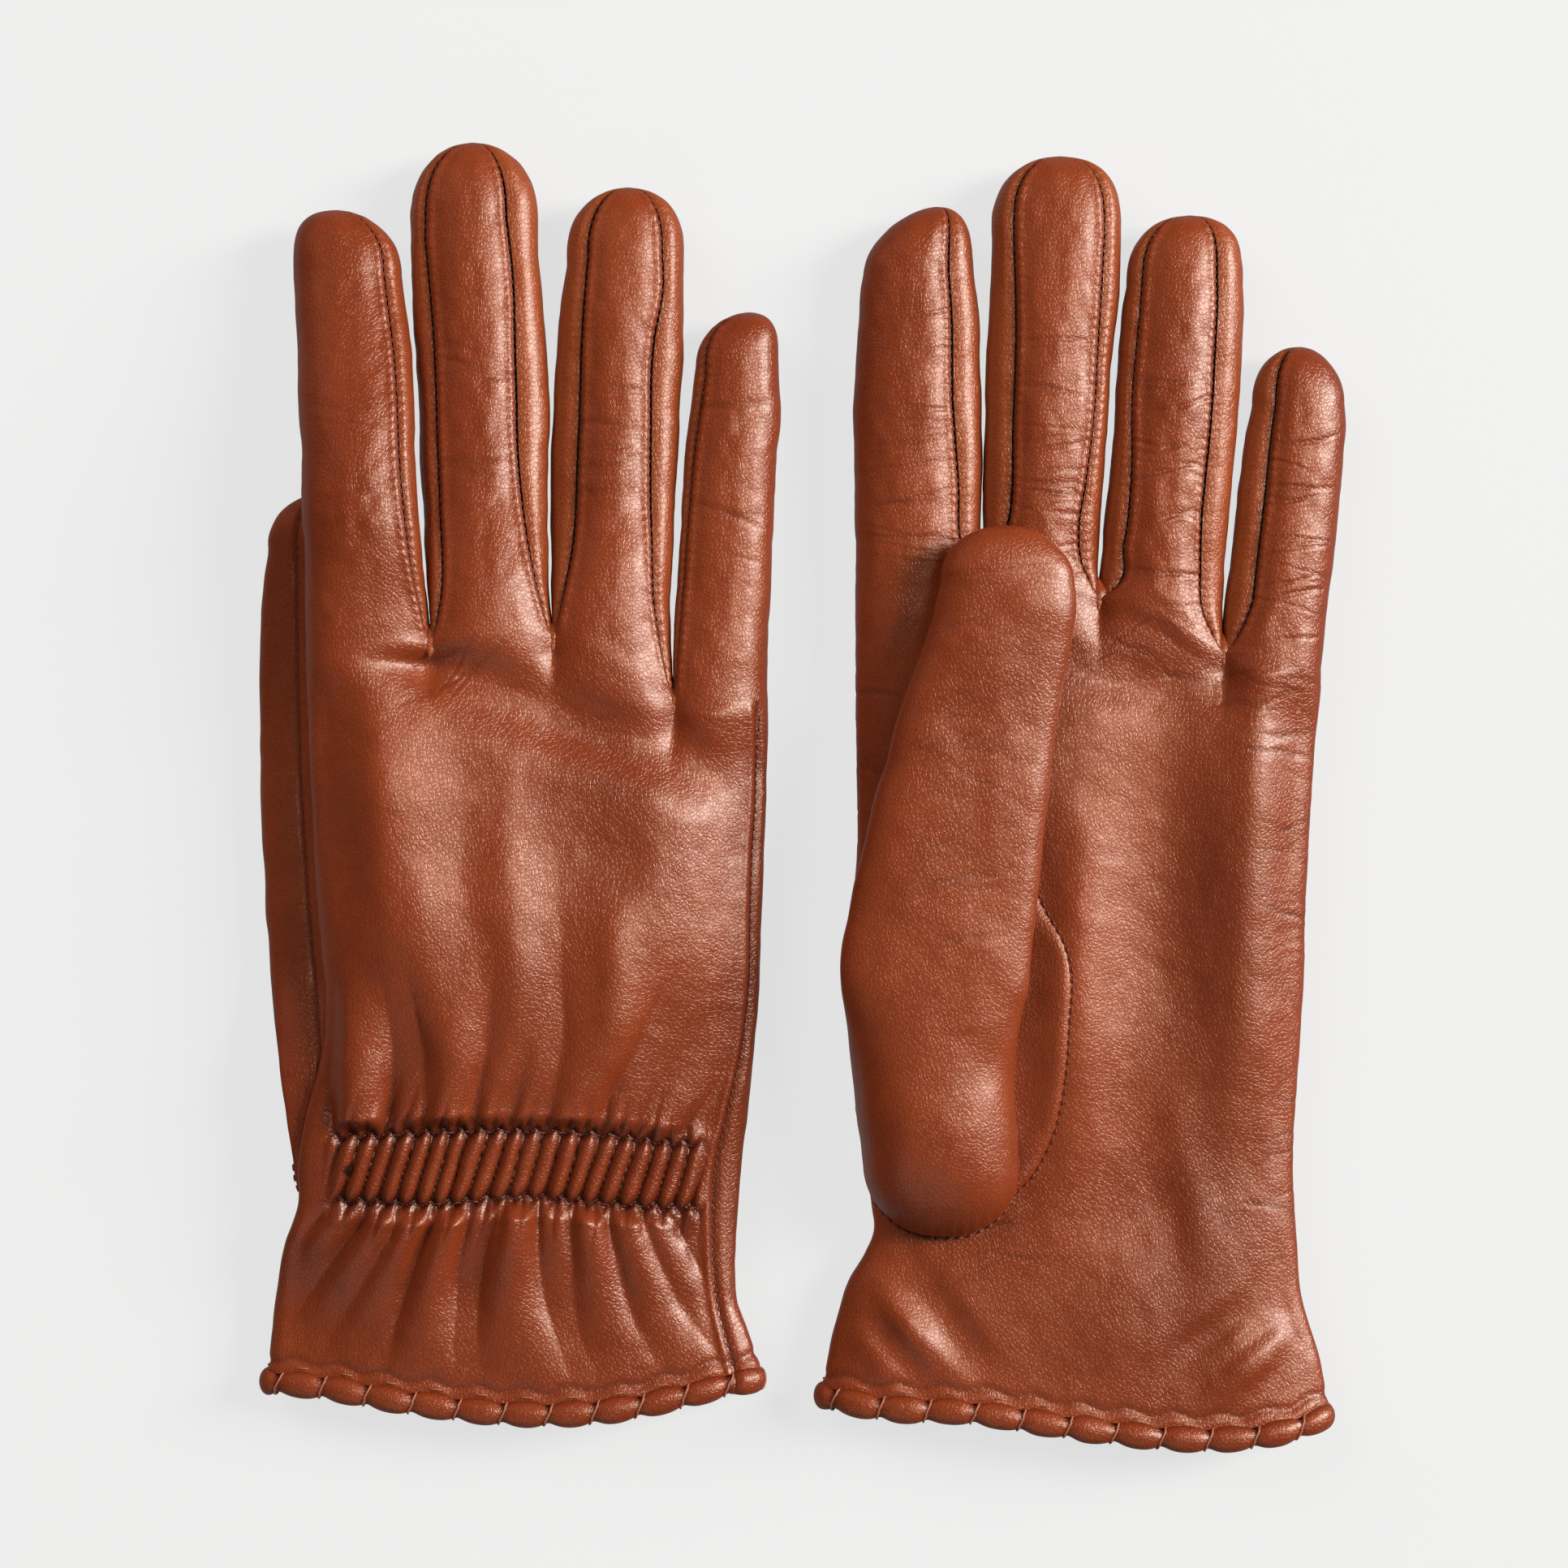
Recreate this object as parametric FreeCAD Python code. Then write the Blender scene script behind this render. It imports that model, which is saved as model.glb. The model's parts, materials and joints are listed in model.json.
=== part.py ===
"""A pair of lined leather dress gloves with an elastic wrist and a laced cuff edge, lying flat.

Millimetres. +X runs across the pair, +Y towards the fingertips, +Z up from the table.
The right-hand glove lies on its palm with the thumb tucked under it. The left-hand glove lies on its
back with the thumb folded over the palm. Each glove is drawn about the middle of its own wrist and then
moved to its place, and the origin is the bottom centre of the pair.
Every wall is a loft of "sectors": four-sided slices of a tube's wall between two angles and two depths.
"""
import FreeCAD
import Part
import math
import os

Vector = FreeCAD.Vector
UP = Vector(0, 0, 1)

# Driving dimensions
leather = 1.0            # thickness of the glove leather
lining = 0.6             # thickness of the knitted lining
hand_slack = 1.0         # air between leather and lining over the hand, where the elastic lies
finger_slack = 0.15      # the same in the fingers and the thumb
hinge_gap = 0.4          # between the two halves of a finger at its middle joint
knuckle_gap = 0.2        # between the hand and the finger tubes
wrist_lift = 1.3         # the gathers under the left glove's wrist hold it this much higher
table_gap = 0.25         # the rounded undersides dip this far below the table before they are flattened
squareness = 2.6         # exponent of the hand's cross-section: 2 is an ellipse, more is squarer
glove_spacing = 104.7    # between the middles of the two wrists
left_glove_drop = 6.0    # the left glove's wrist lies this much nearer the front

elastic_length = 64.5
elastic_width = 11.0
elastic_thickness = 0.6
stitch_radius = 0.35
hem_depth = 4.4          # rolled edge of the cuff, from its top to its lowest point
hem_outset = 1.2         # how far the roll stands out from the cuff
hem_inset = 1.6
hem_pitch = 8.7          # from one lacing stitch to the next
seam_share = 0.64        # a finger seam lies at this share of the finger's half width
tip_cap_share = 0.30     # the closed end of a finger starts where it has narrowed to this share

# Each hand station: y, left x, right x, height of the left edge, of the right edge, rise to the top.
# "finger" gives base, middle joint and tip as (x, y, z), half widths there and at the start of the tip,
# half thickness, and which sides have a side strip.
RIGHT = {
    "name": "right",
    "back_up": True,
    "place": (-glove_spacing / 2, left_glove_drop / 2),
    "stations": [
        (-52.0, -49.0, 46.8, 6.6, 6.6, 6.2), (-30.0, -46.3, 42.4, 7.0, 6.4, 6.2), (-14.0, -42.6, 40.4, 12.6, 6.2, 5.6),
        (0.0, -39.6, 41.2, 14.4, 6.2, 5.2), (14.0, -37.6, 42.8, 14.8, 6.8, 6.4), (30.0, -36.6, 44.0, 15.2, 7.4, 8.0),
        (57.0, -38.0, 44.9, 15.6, 7.4, 8.4), (80.0, -38.7, 45.9, 16.4, 6.8, 7.6), (112.0, -38.7, 45.9, 18.4, 6.2, 7.0)],
    "knuckles": ((-38.7, 98.0), (45.8, 86.0)),
    "fingers": {
        "index": {"points": ((-27.6, 0, 17.2), (-30.0, 131.0, 17.0), (-33.3, 176.8, 7.4)),
                  "half_widths": (11.1, 10.8, 9.9), "half_thickness": 7.0, "strips": "r"},
        "middle": {"points": ((-5.0, 0, 13.2), (-6.8, 136.0, 8.6), (-9.6, 189.4, 7.4)),
                   "half_widths": (11.0, 11.9, 11.3), "half_thickness": 7.0, "strips": "lr"},
        "ring": {"points": ((17.2, 0, 9.9), (18.3, 130.0, 7.6), (19.5, 181.0, 7.2)),
                 "half_widths": (10.8, 11.4, 10.2), "half_thickness": 6.9, "strips": "lr"},
        "little": {"points": ((37.0, 0, 7.6), (39.4, 118.0, 6.9), (42.0, 158.0, 6.7)),
                   "half_widths": (8.5, 8.8, 7.9), "half_thickness": 6.4, "strips": "l"}},
    "thumb": {"pivot": (-27.0, 7.5), "lean": -5.4, "height": 5.0, "fold": 10.1},
    "hem": {"centre": -45.6, "side": -39.4},
}
LEFT = {
    "name": "left",
    "back_up": False,
    "place": (glove_spacing / 2, -left_glove_drop / 2),
    "stations": [
        (-54.0, -50.5, 47.6, 6.6, 6.6, 6.2), (-30.0, -47.6, 44.0, 6.7, 6.5, 6.2), (-15.0, -42.6, 40.4, 6.6, 6.2, 5.6),
        (0.0, -39.2, 39.6, 6.4, 6.2, 5.6), (14.0, -40.4, 39.8, 6.8, 6.6, 6.4), (30.0, -41.4, 40.6, 7.2, 7.0, 7.0),
        (57.0, -42.0, 41.8, 7.3, 7.1, 7.1), (85.0, -42.3, 43.4, 7.3, 7.1, 7.0), (112.0, -42.3, 44.9, 7.2, 7.0, 6.9)],
    "knuckles": ((-42.3, 105.0), (44.9, 94.0)),
    "fingers": {
        "index": {"points": ((-30.3, 0, 7.3), (-30.3, 131.0, 7.3), (-29.0, 183.6, 7.3)),
                  "half_widths": (11.6, 12.0, 10.2), "half_thickness": 7.0, "strips": "r"},
        "middle": {"points": ((-7.8, 0, 7.3), (-6.9, 136.0, 7.3), (-3.6, 192.8, 7.3)),
                   "half_widths": (10.5, 10.7, 11.6), "half_thickness": 7.0, "strips": "lr"},
        "ring": {"points": ((14.2, 0, 7.2), (16.8, 130.0, 7.2), (19.2, 181.6, 7.2)),
                 "half_widths": (11.1, 11.3, 10.9), "half_thickness": 6.9, "strips": "lr"},
        "little": {"points": ((35.3, 0, 6.7), (37.6, 118.0, 6.7), (41.0, 157.6, 6.7)),
                   "half_widths": (9.3, 9.3, 8.6), "half_thickness": 6.4, "strips": "l"}},
    "thumb": {"pivot": (-26.0, 7.5), "lean": 6.6, "height": 19.75, "fold": None},
    "hem": {"centre": -45.6, "side": -39.4},
}

# The thumb in its own line: distance from its pivot, half width, half thickness
thumb_stations = [(-13.6, 5.0, 2.6), (-8.0, 10.6, 4.0), (0.0, 13.4, 4.75), (16.0, 15.2, 4.75), (34.0, 16.6, 4.75),
                  (60.0, 15.6, 4.75), (84.0, 14.0, 4.75), (100.0, 12.6, 4.75), (110.0, 10.4, 4.5)]
thumb_tip = 117.0
thumb_join = 37.0         # below this the thumb is open towards the palm
thumb_hole = (12.0, 14.0, 8.0)   # hole in the palm: middle, half length, half width, in the thumb's line

tip_shape = [0.0, 0.5, 0.8, 0.954]   # shares of the rounded end at which a finger is drawn


def blend(a, b, t):
    return a + (b - a) * t


def smooth(t):
    t = max(0.0, min(1.0, t))
    return t * t * (3 - 2 * t)


def power(value, exponent):
    return math.copysign(abs(value) ** exponent, value)


def oval(phi, exponent=2.0):
    """A point on a superellipse of unit size at angle phi, in degrees."""
    angle = math.radians(phi)
    return power(math.cos(angle), 2 / exponent), power(math.sin(angle), 2 / exponent)


def curve(points):
    line = Part.BSplineCurve()
    line.interpolate(points)
    return line.toShape()


def sector(point, phi_from, phi_to, outer_depth, inner_depth, steps=8):
    """A closed four-sided slice of wall. point(phi, depth) gives the surface at that depth."""
    angles = [blend(phi_from, phi_to, i / steps) for i in range(steps + 1)]
    outside = [point(phi, outer_depth) for phi in angles]
    inside = [point(phi, inner_depth) for phi in reversed(angles)]
    return Part.Wire([curve(outside), Part.makeLine(outside[-1], inside[0]),
                      curve(inside), Part.makeLine(inside[-1], outside[0])])


def loft(wires):
    shape = Part.makeLoft(wires, True, True)
    return shape if shape.Volume > 0 else shape.reversed()


# ---------------------------------------------------------------- the hand

def station_at(glove, y):
    rows = glove["stations"]
    for low, high in zip(rows, rows[1:]):
        if y <= high[0]:
            share = smooth((y - low[0]) / (high[0] - low[0]))
            return [blend(a, b, share) for a, b in zip(low, high)]
    return list(rows[-1])


def underside(glove, x, y):
    """Height of what the glove lies on: the table, or the thumb folded under the palm.
    Where the gathers are underneath, they hold the wrist off the table."""
    fold = glove["thumb"]["fold"]
    if fold is None:
        return -table_gap + wrist_lift * (1 - smooth((abs(y) - 7.0) / 9.0))
    across = 1 - smooth((x + 12.5) / 14.0)
    along = smooth((y + 26.0) / 16.0)
    return blend(-table_gap, fold, across * along)


def hand_point(glove, y, phi, depth, slope=0.0):
    """A point on the hand's wall; slope tips the slice so that it follows the knuckles."""
    _, left, right, left_z, right_z, rise = station_at(glove, y)
    half = (right - left) / 2
    c, s = oval(phi, squareness)
    x = (left + right) / 2 + (half - depth) * c
    middle_z = blend(left_z, right_z, (x - left) / (right - left))
    if s >= 0:
        z = middle_z + (rise - depth) * s
    else:
        z = middle_z + (middle_z - underside(glove, x, y) - depth) * s
    return Vector(x, y + slope * (x - (left + right) / 2), z)


def knuckle_slope(glove):
    (x0, y0), (x1, y1) = glove["knuckles"]
    return (y1 - y0) / (x1 - x0), (y0 + y1) / 2


def hand_slices(glove, low_y, phi_from, phi_to, outer_depth, inner_depth, high_y=None, count=9):
    """Slices of the hand's wall from low_y to the knuckles, turning gradually into the knuckles' slope."""
    slope, knuckle_y = knuckle_slope(glove)
    top = knuckle_y - knuckle_gap if high_y is None else high_y
    wires = []
    for i in range(count):
        y = blend(low_y, top, i / (count - 1))
        lean = slope * smooth((y - 20.0) / (knuckle_y - 20.0))
        wires.append(sector(lambda phi, d: hand_point(glove, y, phi, d, lean), phi_from, phi_to,
                            outer_depth, inner_depth, 12))
    return wires


def table_cut(shape):
    """Flattens what would dip below the table."""
    box = shape.BoundBox
    if box.ZMin > -1e-6:
        return shape
    block = Part.makeBox(box.XLength + 20, box.YLength + 20, 30, Vector(box.XMin - 10, box.YMin - 10, -30))
    return shape.cut(block)


def hem_region(glove, top_shift, bottom_shift):
    """A block whose plan lies between two arcs that follow the bowed cuff edge."""
    hem = glove["hem"]
    reach = 56.0
    rise = (hem["side"] - hem["centre"]) * (reach / 46.0) ** 2

    def arc(shift):
        y = hem["centre"] + shift
        return Vector(-reach, y + rise, -5), Vector(0, y, -5), Vector(reach, y + rise, -5)

    a0, a1, a2 = arc(bottom_shift)
    b0, b1, b2 = arc(top_shift)
    edges = [Part.Arc(a0, a1, a2).toShape(), Part.makeLine(a2, b2), Part.Arc(b2, b1, b0).toShape(), Part.makeLine(b0, a0)]
    return Part.Face(Part.Wire(edges)).extrude(Vector(0, 0, 40))


def hand_panel(glove, phi_from, phi_to):
    """One side of the hand and cuff, from the knuckles down to the rolled edge."""
    shape = loft(hand_slices(glove, -50.0, phi_from, phi_to, 0.0, leather, count=29))
    return table_cut(shape.cut(hem_region(glove, 0.0, -20.0)))


def hand_lining(glove):
    depth = leather + hand_slack
    halves = []
    for phi in (0, 180):
        shape = loft(hand_slices(glove, -50.0, phi, phi + 180, depth, depth + lining, count=29))
        halves.append(shape.cut(hem_region(glove, 1.0, -20.0)))
    return halves


def cuff_hem(glove):
    """The rolled edge, in two halves that meet at the sides."""
    halves = []
    for phi in (0, 180):
        ring = loft(hand_slices(glove, -51.5, phi, phi + 180, -hem_outset, hem_inset, high_y=-33.0, count=5))
        halves.append(table_cut(ring.common(hem_region(glove, -0.05, -hem_depth))))
    return halves


def hem_line(glove, x, shift):
    hem = glove["hem"]
    return hem["centre"] + (hem["side"] - hem["centre"]) * (x / 46.0) ** 2 + shift


def side_angle(glove, y, x, top):
    """Angle round the hand's section at which it passes x."""
    _, left, right = station_at(glove, y)[:3]
    share = 2 * (x - left) / (right - left) - 1
    phi = math.degrees(math.acos(power(share, squareness / 2)))
    return phi if top else 360 - phi


def hem_stitches(glove):
    """Lacing stitches that wrap the roll, a row on each face."""
    stitches = []
    count = 5
    for top in (True, False):
        for i in range(-count, count + 1):
            x = i * hem_pitch * 0.96 - 1.0
            y = hem_line(glove, x, -hem_depth + 0.4)
            phi = side_angle(glove, y, x, top)
            foot = hand_point(glove, y, phi, -hem_outset - stitch_radius - 0.15)
            if not top:
                foot.z = max(foot.z, stitch_radius)
            head = hand_point(glove, y + hem_depth - 1.0, phi, -hem_outset - stitch_radius - 0.15)
            head.z = foot.z
            if top or foot.z > stitch_radius + 0.01:
                stitches.append(Part.makeCylinder(stitch_radius, (head - foot).Length, foot, head - foot))
    return stitches


def back_range(glove):
    return (0, 180) if glove["back_up"] else (180, 360)


def palm_range(glove):
    return (180, 360) if glove["back_up"] else (0, 180)


def elastic(glove):
    """The elastic band sewn inside the back of the wrist."""
    half = elastic_length / 2
    top = glove["back_up"]
    wires = []
    for i in range(5):
        y = blend(-elastic_width / 2, elastic_width / 2, i / 4)
        ends = sorted(side_angle(glove, y, x, top) for x in (-half, half))
        wires.append(sector(lambda phi, d: hand_point(glove, y, phi, d), ends[0], ends[1],
                            leather + 0.2, leather + 0.2 + elastic_thickness, 10))
    return [loft(wires)]


def elastic_stitches(glove):
    """Two rows of short stitches that lie in the gathers, one along each edge of the band."""
    top = glove["back_up"]
    stitches = []
    pitch = 3.7
    count = int(elastic_length / pitch)
    for row in (-elastic_width / 2 + 0.6, elastic_width / 2 - 0.6):
        for i in range(count):
            x = -elastic_length / 2 + (i + 0.5) * pitch
            phi = side_angle(glove, row, x, top)
            middle = hand_point(glove, row, phi, -0.55)
            start = middle - Vector(pitch * 0.36, 0, 0)
            stitches.append(Part.makeCylinder(0.2, pitch * 0.72, start, Vector(1, 0, 0)))
    return stitches


# ---------------------------------------------------------------- the fingers

class Finger:
    """Centre line, slices and joint of one finger."""

    def __init__(self, glove, name):
        data = glove["fingers"][name]
        slope, knuckle_y = knuckle_slope(glove)
        (x0, _, z0), hinge, tip = data["points"]
        left, right = glove["knuckles"]
        middle_x = (left[0] + right[0]) / 2
        self.base = Vector(x0, knuckle_y + slope * (x0 - middle_x), z0)
        self.hinge = Vector(*hinge)
        self.tip = Vector(*tip)
        self.way = (self.tip - self.hinge).normalize()
        self.side = self.way.cross(UP).normalize()
        self.normal = self.side.cross(self.way).normalize()
        self.knuckle_side = Vector(1, slope, 0).normalize()
        self.half_widths = data["half_widths"]
        self.half_thickness = data["half_thickness"]
        self.strips = data["strips"]
        self.back_up = glove["back_up"]
        self.seam = math.degrees(math.acos(seam_share))

    def axis(self):
        """Hinge axis on the palm side; positive turns the tip towards the palm."""
        palm = -1.0 if self.back_up else 1.0
        point = self.hinge + self.normal * (palm * self.half_thickness)
        return point, self.side * palm

    def slice_point(self, centre, side, normal, half_width, half_thickness):
        def point(phi, depth):
            c, s = oval(phi)
            return centre + side * ((half_width - depth) * c) + normal * ((half_thickness - depth) * s)
        return point

    def near(self):
        """Slices from the knuckles to the middle joint."""
        start = self.base + (self.hinge - self.base).normalize() * knuckle_gap
        end = self.hinge - self.way * (hinge_gap / 2)
        bend = start * 0.45 + end * 0.55
        bend_side = (self.knuckle_side + self.side).normalize()
        w0, w1, _ = self.half_widths
        return [self.slice_point(start, self.knuckle_side, UP, w0, self.half_thickness),
                self.slice_point(bend, bend_side, UP, (w0 + w1) / 2 - 0.1, self.half_thickness),
                self.slice_point(end, self.side, self.normal, w1, self.half_thickness)]

    def far(self, shorten=0.0):
        """Slices from the middle joint to where the tip has nearly closed."""
        _, w1, w2 = self.half_widths
        start = self.hinge + self.way * (hinge_gap / 2)
        length = (self.tip - start).dot(self.way) - shorten
        round_length = w2 * 1.05
        straight = length - round_length
        slices = [self.slice_point(start + self.way * (straight * share), self.side, self.normal,
                                   blend(w1, w2, share), self.half_thickness) for share in (0.0, 0.5)]
        for share in tip_shape:
            scale = math.sqrt(1 - share * share)
            slices.append(self.slice_point(start + self.way * (straight + round_length * share), self.side,
                                           self.normal, w2 * scale, self.half_thickness * scale))
        return slices

    def wall(self, slices, phi_from, phi_to, outer_depth, inner_depth):
        return loft([sector(point, phi_from, phi_to, outer_depth, inner_depth) for point in slices])

    def cap(self, depth, thickness):
        """Closes the tip: a small rounded plug from the last slice onwards."""
        point = self.far(shorten=depth)[-1]
        centre = (point(0, 0) + point(180, 0)) * 0.5
        wide = (point(0, 0) - centre).Length - depth * 0.0
        high = (point(90, 0) - centre).Length
        wires = []
        for along, share in ((0.02, 1.0), (thickness * 0.55, 0.72), (thickness * 0.9, 0.3)):
            middle = centre + self.way * along
            ring = [middle + self.side * (wide * share * oval(a)[0]) + self.normal * (high * share * oval(a)[1])
                    for a in range(0, 360, 30)]
            line = Part.BSplineCurve()
            line.interpolate(ring, PeriodicFlag=True)
            wires.append(Part.Wire([line.toShape()]))
        return loft(wires)

    def leather_ranges(self):
        """(back, palm) angle ranges of the main leather. It runs on round the side that has no strip."""
        s = self.seam
        left_end = 180 if "l" not in self.strips else 180 - s
        right_start = 0 if "r" not in self.strips else s
        top = (right_start, left_end)
        bottom = (360 - left_end, 360 - right_start)
        return (top, bottom) if self.back_up else (bottom, top)

    def strip_ranges(self):
        s = self.seam
        ranges = {}
        if "r" in self.strips:
            ranges["r"] = (-s, s)
        if "l" in self.strips:
            ranges["l"] = (180 - s, 180 + s)
        return ranges


def finger_nodes(glove, name):
    """The half of a finger beyond its middle joint: leather, side strips and lining."""
    finger = Finger(glove, name)
    slices = finger.far()
    back, palm = finger.leather_ranges()
    skin = [finger.wall(slices, *back, 0.0, leather), finger.wall(slices, *palm, 0.0, leather), finger.cap(0.0, leather)]
    strips = [finger.wall(slices, *r, 0.0, leather) for r in finger.strip_ranges().values()]
    depth = leather + finger_slack
    inner = finger.far(shorten=depth)
    linings = [finger.wall(inner[:-2], phi, phi + 180, depth, depth + lining) for phi in (0, 180)]
    return {"finger": skin, "side_strips": strips, "lining": linings}


# ---------------------------------------------------------------- the thumb

class Thumb:
    """The thumb's line, and its walls. It turns about a vertical pin line through its pivot."""

    def __init__(self, glove):
        data = glove["thumb"]
        lean = math.radians(data["lean"])
        self.pivot = Vector(*data["pivot"], data["height"])
        self.way = Vector(math.sin(lean), math.cos(lean), 0)
        self.side = Vector(math.cos(lean), -math.sin(lean), 0)
        self.away_from_palm = (180, 360) if glove["back_up"] else (0, 180)
        self.towards_palm = (0, 180) if glove["back_up"] else (180, 360)
        self.palm_direction = UP if glove["back_up"] else UP * -1

    def slice_at(self, along, half_width, half_thickness):
        centre = self.pivot + self.way * along
        base = self.pivot + self.way * along + self.palm_direction * (4.75 - half_thickness)
        middle = base if along < 0 else centre

        def point(phi, depth):
            c, s = oval(phi, 2.3)
            return middle + self.side * ((half_width - depth) * c) + UP * ((half_thickness - depth) * s)
        return point

    def slices(self, start=None, shorten=0.0):
        rows = [row for row in thumb_stations if start is None or row[0] > start]
        if start is not None:
            before = [row for row in thumb_stations if row[0] <= start][-1]
            after = rows[0]
            share = (start - before[0]) / (after[0] - before[0])
            rows.insert(0, tuple(blend(a, b, share) for a, b in zip(before, after)))
        last = rows[-1]
        length = thumb_tip - shorten - last[0]
        made = [self.slice_at(*row) for row in rows]
        for share in (0.6, 0.88):
            scale = math.sqrt(1 - share * share)
            made.append(self.slice_at(last[0] + length * share, last[1] * scale, last[2] * (0.4 + 0.6 * scale)))
        return made

    def wall(self, slices, phi_range, outer_depth, inner_depth):
        return loft([sector(point, *phi_range, outer_depth, inner_depth, 10) for point in slices])

    def cap(self):
        """Closes the thumb's tip."""
        point = self.slices()[-1]
        centre = (point(0, 0) + point(180, 0)) * 0.5
        wires = []
        for along, share in ((0.02, 1.0), (0.6, 0.75), (0.95, 0.35)):
            ring = [centre + self.way * along + (point(a, 0) - centre) * share for a in range(0, 360, 30)]
            line = Part.BSplineCurve()
            line.interpolate(ring, PeriodicFlag=True)
            wires.append(Part.Wire([line.toShape()]))
        return loft(wires)

    def hole(self):
        """An oval prism through the palm, where the thumb opens into the hand."""
        middle, half_length, half_width = thumb_hole
        centre = Vector(self.pivot.x, self.pivot.y, -5) + self.way * middle
        ring = [centre + self.way * (half_length * oval(a)[0]) + self.side * (half_width * oval(a)[1])
                for a in range(0, 360, 30)]
        line = Part.BSplineCurve()
        line.interpolate(ring, PeriodicFlag=True)
        return Part.Face(Part.Wire([line.toShape()])).extrude(Vector(0, 0, 40))


def thumb_nodes(glove):
    thumb = Thumb(glove)
    depth = leather + finger_slack
    skin = [thumb.wall(thumb.slices(), thumb.away_from_palm, 0.0, leather),
            thumb.wall(thumb.slices(start=thumb_join), thumb.towards_palm, 0.0, leather), thumb.cap()]
    inner = thumb.slices(shorten=depth)[1:-1]
    inner_short = thumb.slices(start=thumb_join, shorten=depth)[:-1]
    linings = [thumb.wall(inner, thumb.away_from_palm, depth, depth + lining),
               thumb.wall(inner_short, thumb.towards_palm, depth, depth + lining)]
    return {"thumb": [table_cut(s) for s in skin], "thumb_lining": linings}


def thumb_gusset(glove):
    """The crescent of thumb leather that stays on the palm beside the thumb, on its inner side."""
    thumb = Thumb(glove)
    palm = palm_range(glove)
    top = not glove["back_up"]
    wires = []
    for along, reach in ((2.0, 2.2), (14.0, 4.6), (28.0, 5.8), (42.0, 4.6), (54.0, 2.2)):
        edge = [row for row in thumb_stations if row[0] <= along][-1][1]
        start = thumb.pivot + thumb.way * along + thumb.side * (edge + 1.9)
        end = start + thumb.side * reach
        points = []
        for p in (start, (start + end) * 0.5, end):
            phi = side_angle(glove, p.y, p.x, top)
            points.append(hand_point(glove, p.y, phi, -0.1))
        rise = 1.4 if top else -1.4
        crest = [p + Vector(0, 0, rise * h) for p, h in zip(points, (0.9, 1.6, 0.7))]
        low = [p + Vector(0, 0, 0.1 if top else -0.1) for p in points]
        wires.append(Part.Wire([curve(low), Part.makeLine(low[-1], crest[-1]), curve(crest[::-1]),
                                Part.makeLine(crest[0], low[0])]))
    return [loft(wires)]


# ---------------------------------------------------------------- whole gloves

def near_parts(glove):
    """The half of each finger nearer the hand, sorted into back, palm, forks and lining."""
    parts = {"back": [], "palm": [], "lining": [], "strips": {}}
    for name in glove["fingers"]:
        finger = Finger(glove, name)
        slices = finger.near()
        back, palm = finger.leather_ranges()
        parts["back"].append(finger.wall(slices, *back, 0.0, leather))
        parts["palm"].append(finger.wall(slices, *palm, 0.0, leather))
        depth = leather + finger_slack
        for phi in (0, 180):
            parts["lining"].append(finger.wall(slices, phi, phi + 180, depth, depth + lining))
        for side, angles in finger.strip_ranges().items():
            parts["strips"][name, side] = finger.wall(slices, *angles, 0.0, leather)
    return parts


def quirks(glove):
    """Small diamond gussets that close the palm side of each fork."""
    names = list(glove["fingers"])
    made = []
    for a, b in zip(names, names[1:]):
        left = Finger(glove, a)
        right = Finger(glove, b)
        middle = (left.base + left.knuckle_side * left.half_widths[0]
                  + right.base - right.knuckle_side * right.half_widths[0]) * 0.5
        lift = 5.2 if not glove["back_up"] else -6.25
        middle = middle + Vector(0, 1.6, lift)
        corners = [middle + Vector(*c) for c in ((-1.5, 0, 0), (0, 2.2, 0), (1.5, 0, 0), (0, -1.2, 0), (-1.5, 0, 0))]
        plate = Part.Face(Part.makePolygon(corners)).extrude(Vector(0, 0, 0.8))
        made.append(plate)
    return made


def glove_nodes(glove):
    near = near_parts(glove)
    hole = Thumb(glove).hole()
    back = hand_panel(glove, *back_range(glove))
    palm = hand_panel(glove, *palm_range(glove)).cut(hole)
    linings = [half.cut(hole) if i == (0 if not glove["back_up"] else 1) else half
               for i, half in enumerate(hand_lining(glove))]
    strips = near["strips"]
    nodes = {
        "back_panel": [back] + near["back"],
        "palm_panel": [palm] + near["palm"],
        "hand_lining": linings + near["lining"],
        "index_middle_fork": [strips["index", "r"], strips["middle", "l"]],
        "middle_ring_fork": [strips["middle", "r"], strips["ring", "l"]],
        "ring_little_fork": [strips["ring", "r"], strips["little", "l"]],
        "quirks": quirks(glove),
        "thumb_gusset": thumb_gusset(glove),
        "wrist_elastic": elastic(glove),
        "elastic_stitches": elastic_stitches(glove),
        "cuff_hem": cuff_hem(glove),
        "hem_stitches": hem_stitches(glove),
    }
    nodes.update(thumb_nodes(glove))
    for name in glove["fingers"]:
        for kind, solids in finger_nodes(glove, name).items():
            nodes[f"{name}_{kind}"] = solids
    return nodes


def build():
    """All nodes of both gloves in their places, and the shift that puts the origin at the bottom centre."""
    nodes = {}
    for glove in (RIGHT, LEFT):
        for name, solids in glove_nodes(glove).items():
            shape = Part.Compound([s for solid in solids for s in (solid.Solids or [solid])])
            shape.translate(Vector(*glove["place"], 0))
            nodes[f"{glove['name']}_{name}"] = shape
    box = Part.Compound(list(nodes.values())).optimalBoundingBox(False)
    shift = Vector(-(box.XMin + box.XMax) / 2, -(box.YMin + box.YMax) / 2, -box.ZMin)
    for shape in nodes.values():
        shape.translate(shift)
    return nodes, shift


def place_joint(glove, shift, point):
    return point + Vector(*glove["place"], 0) + shift


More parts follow.
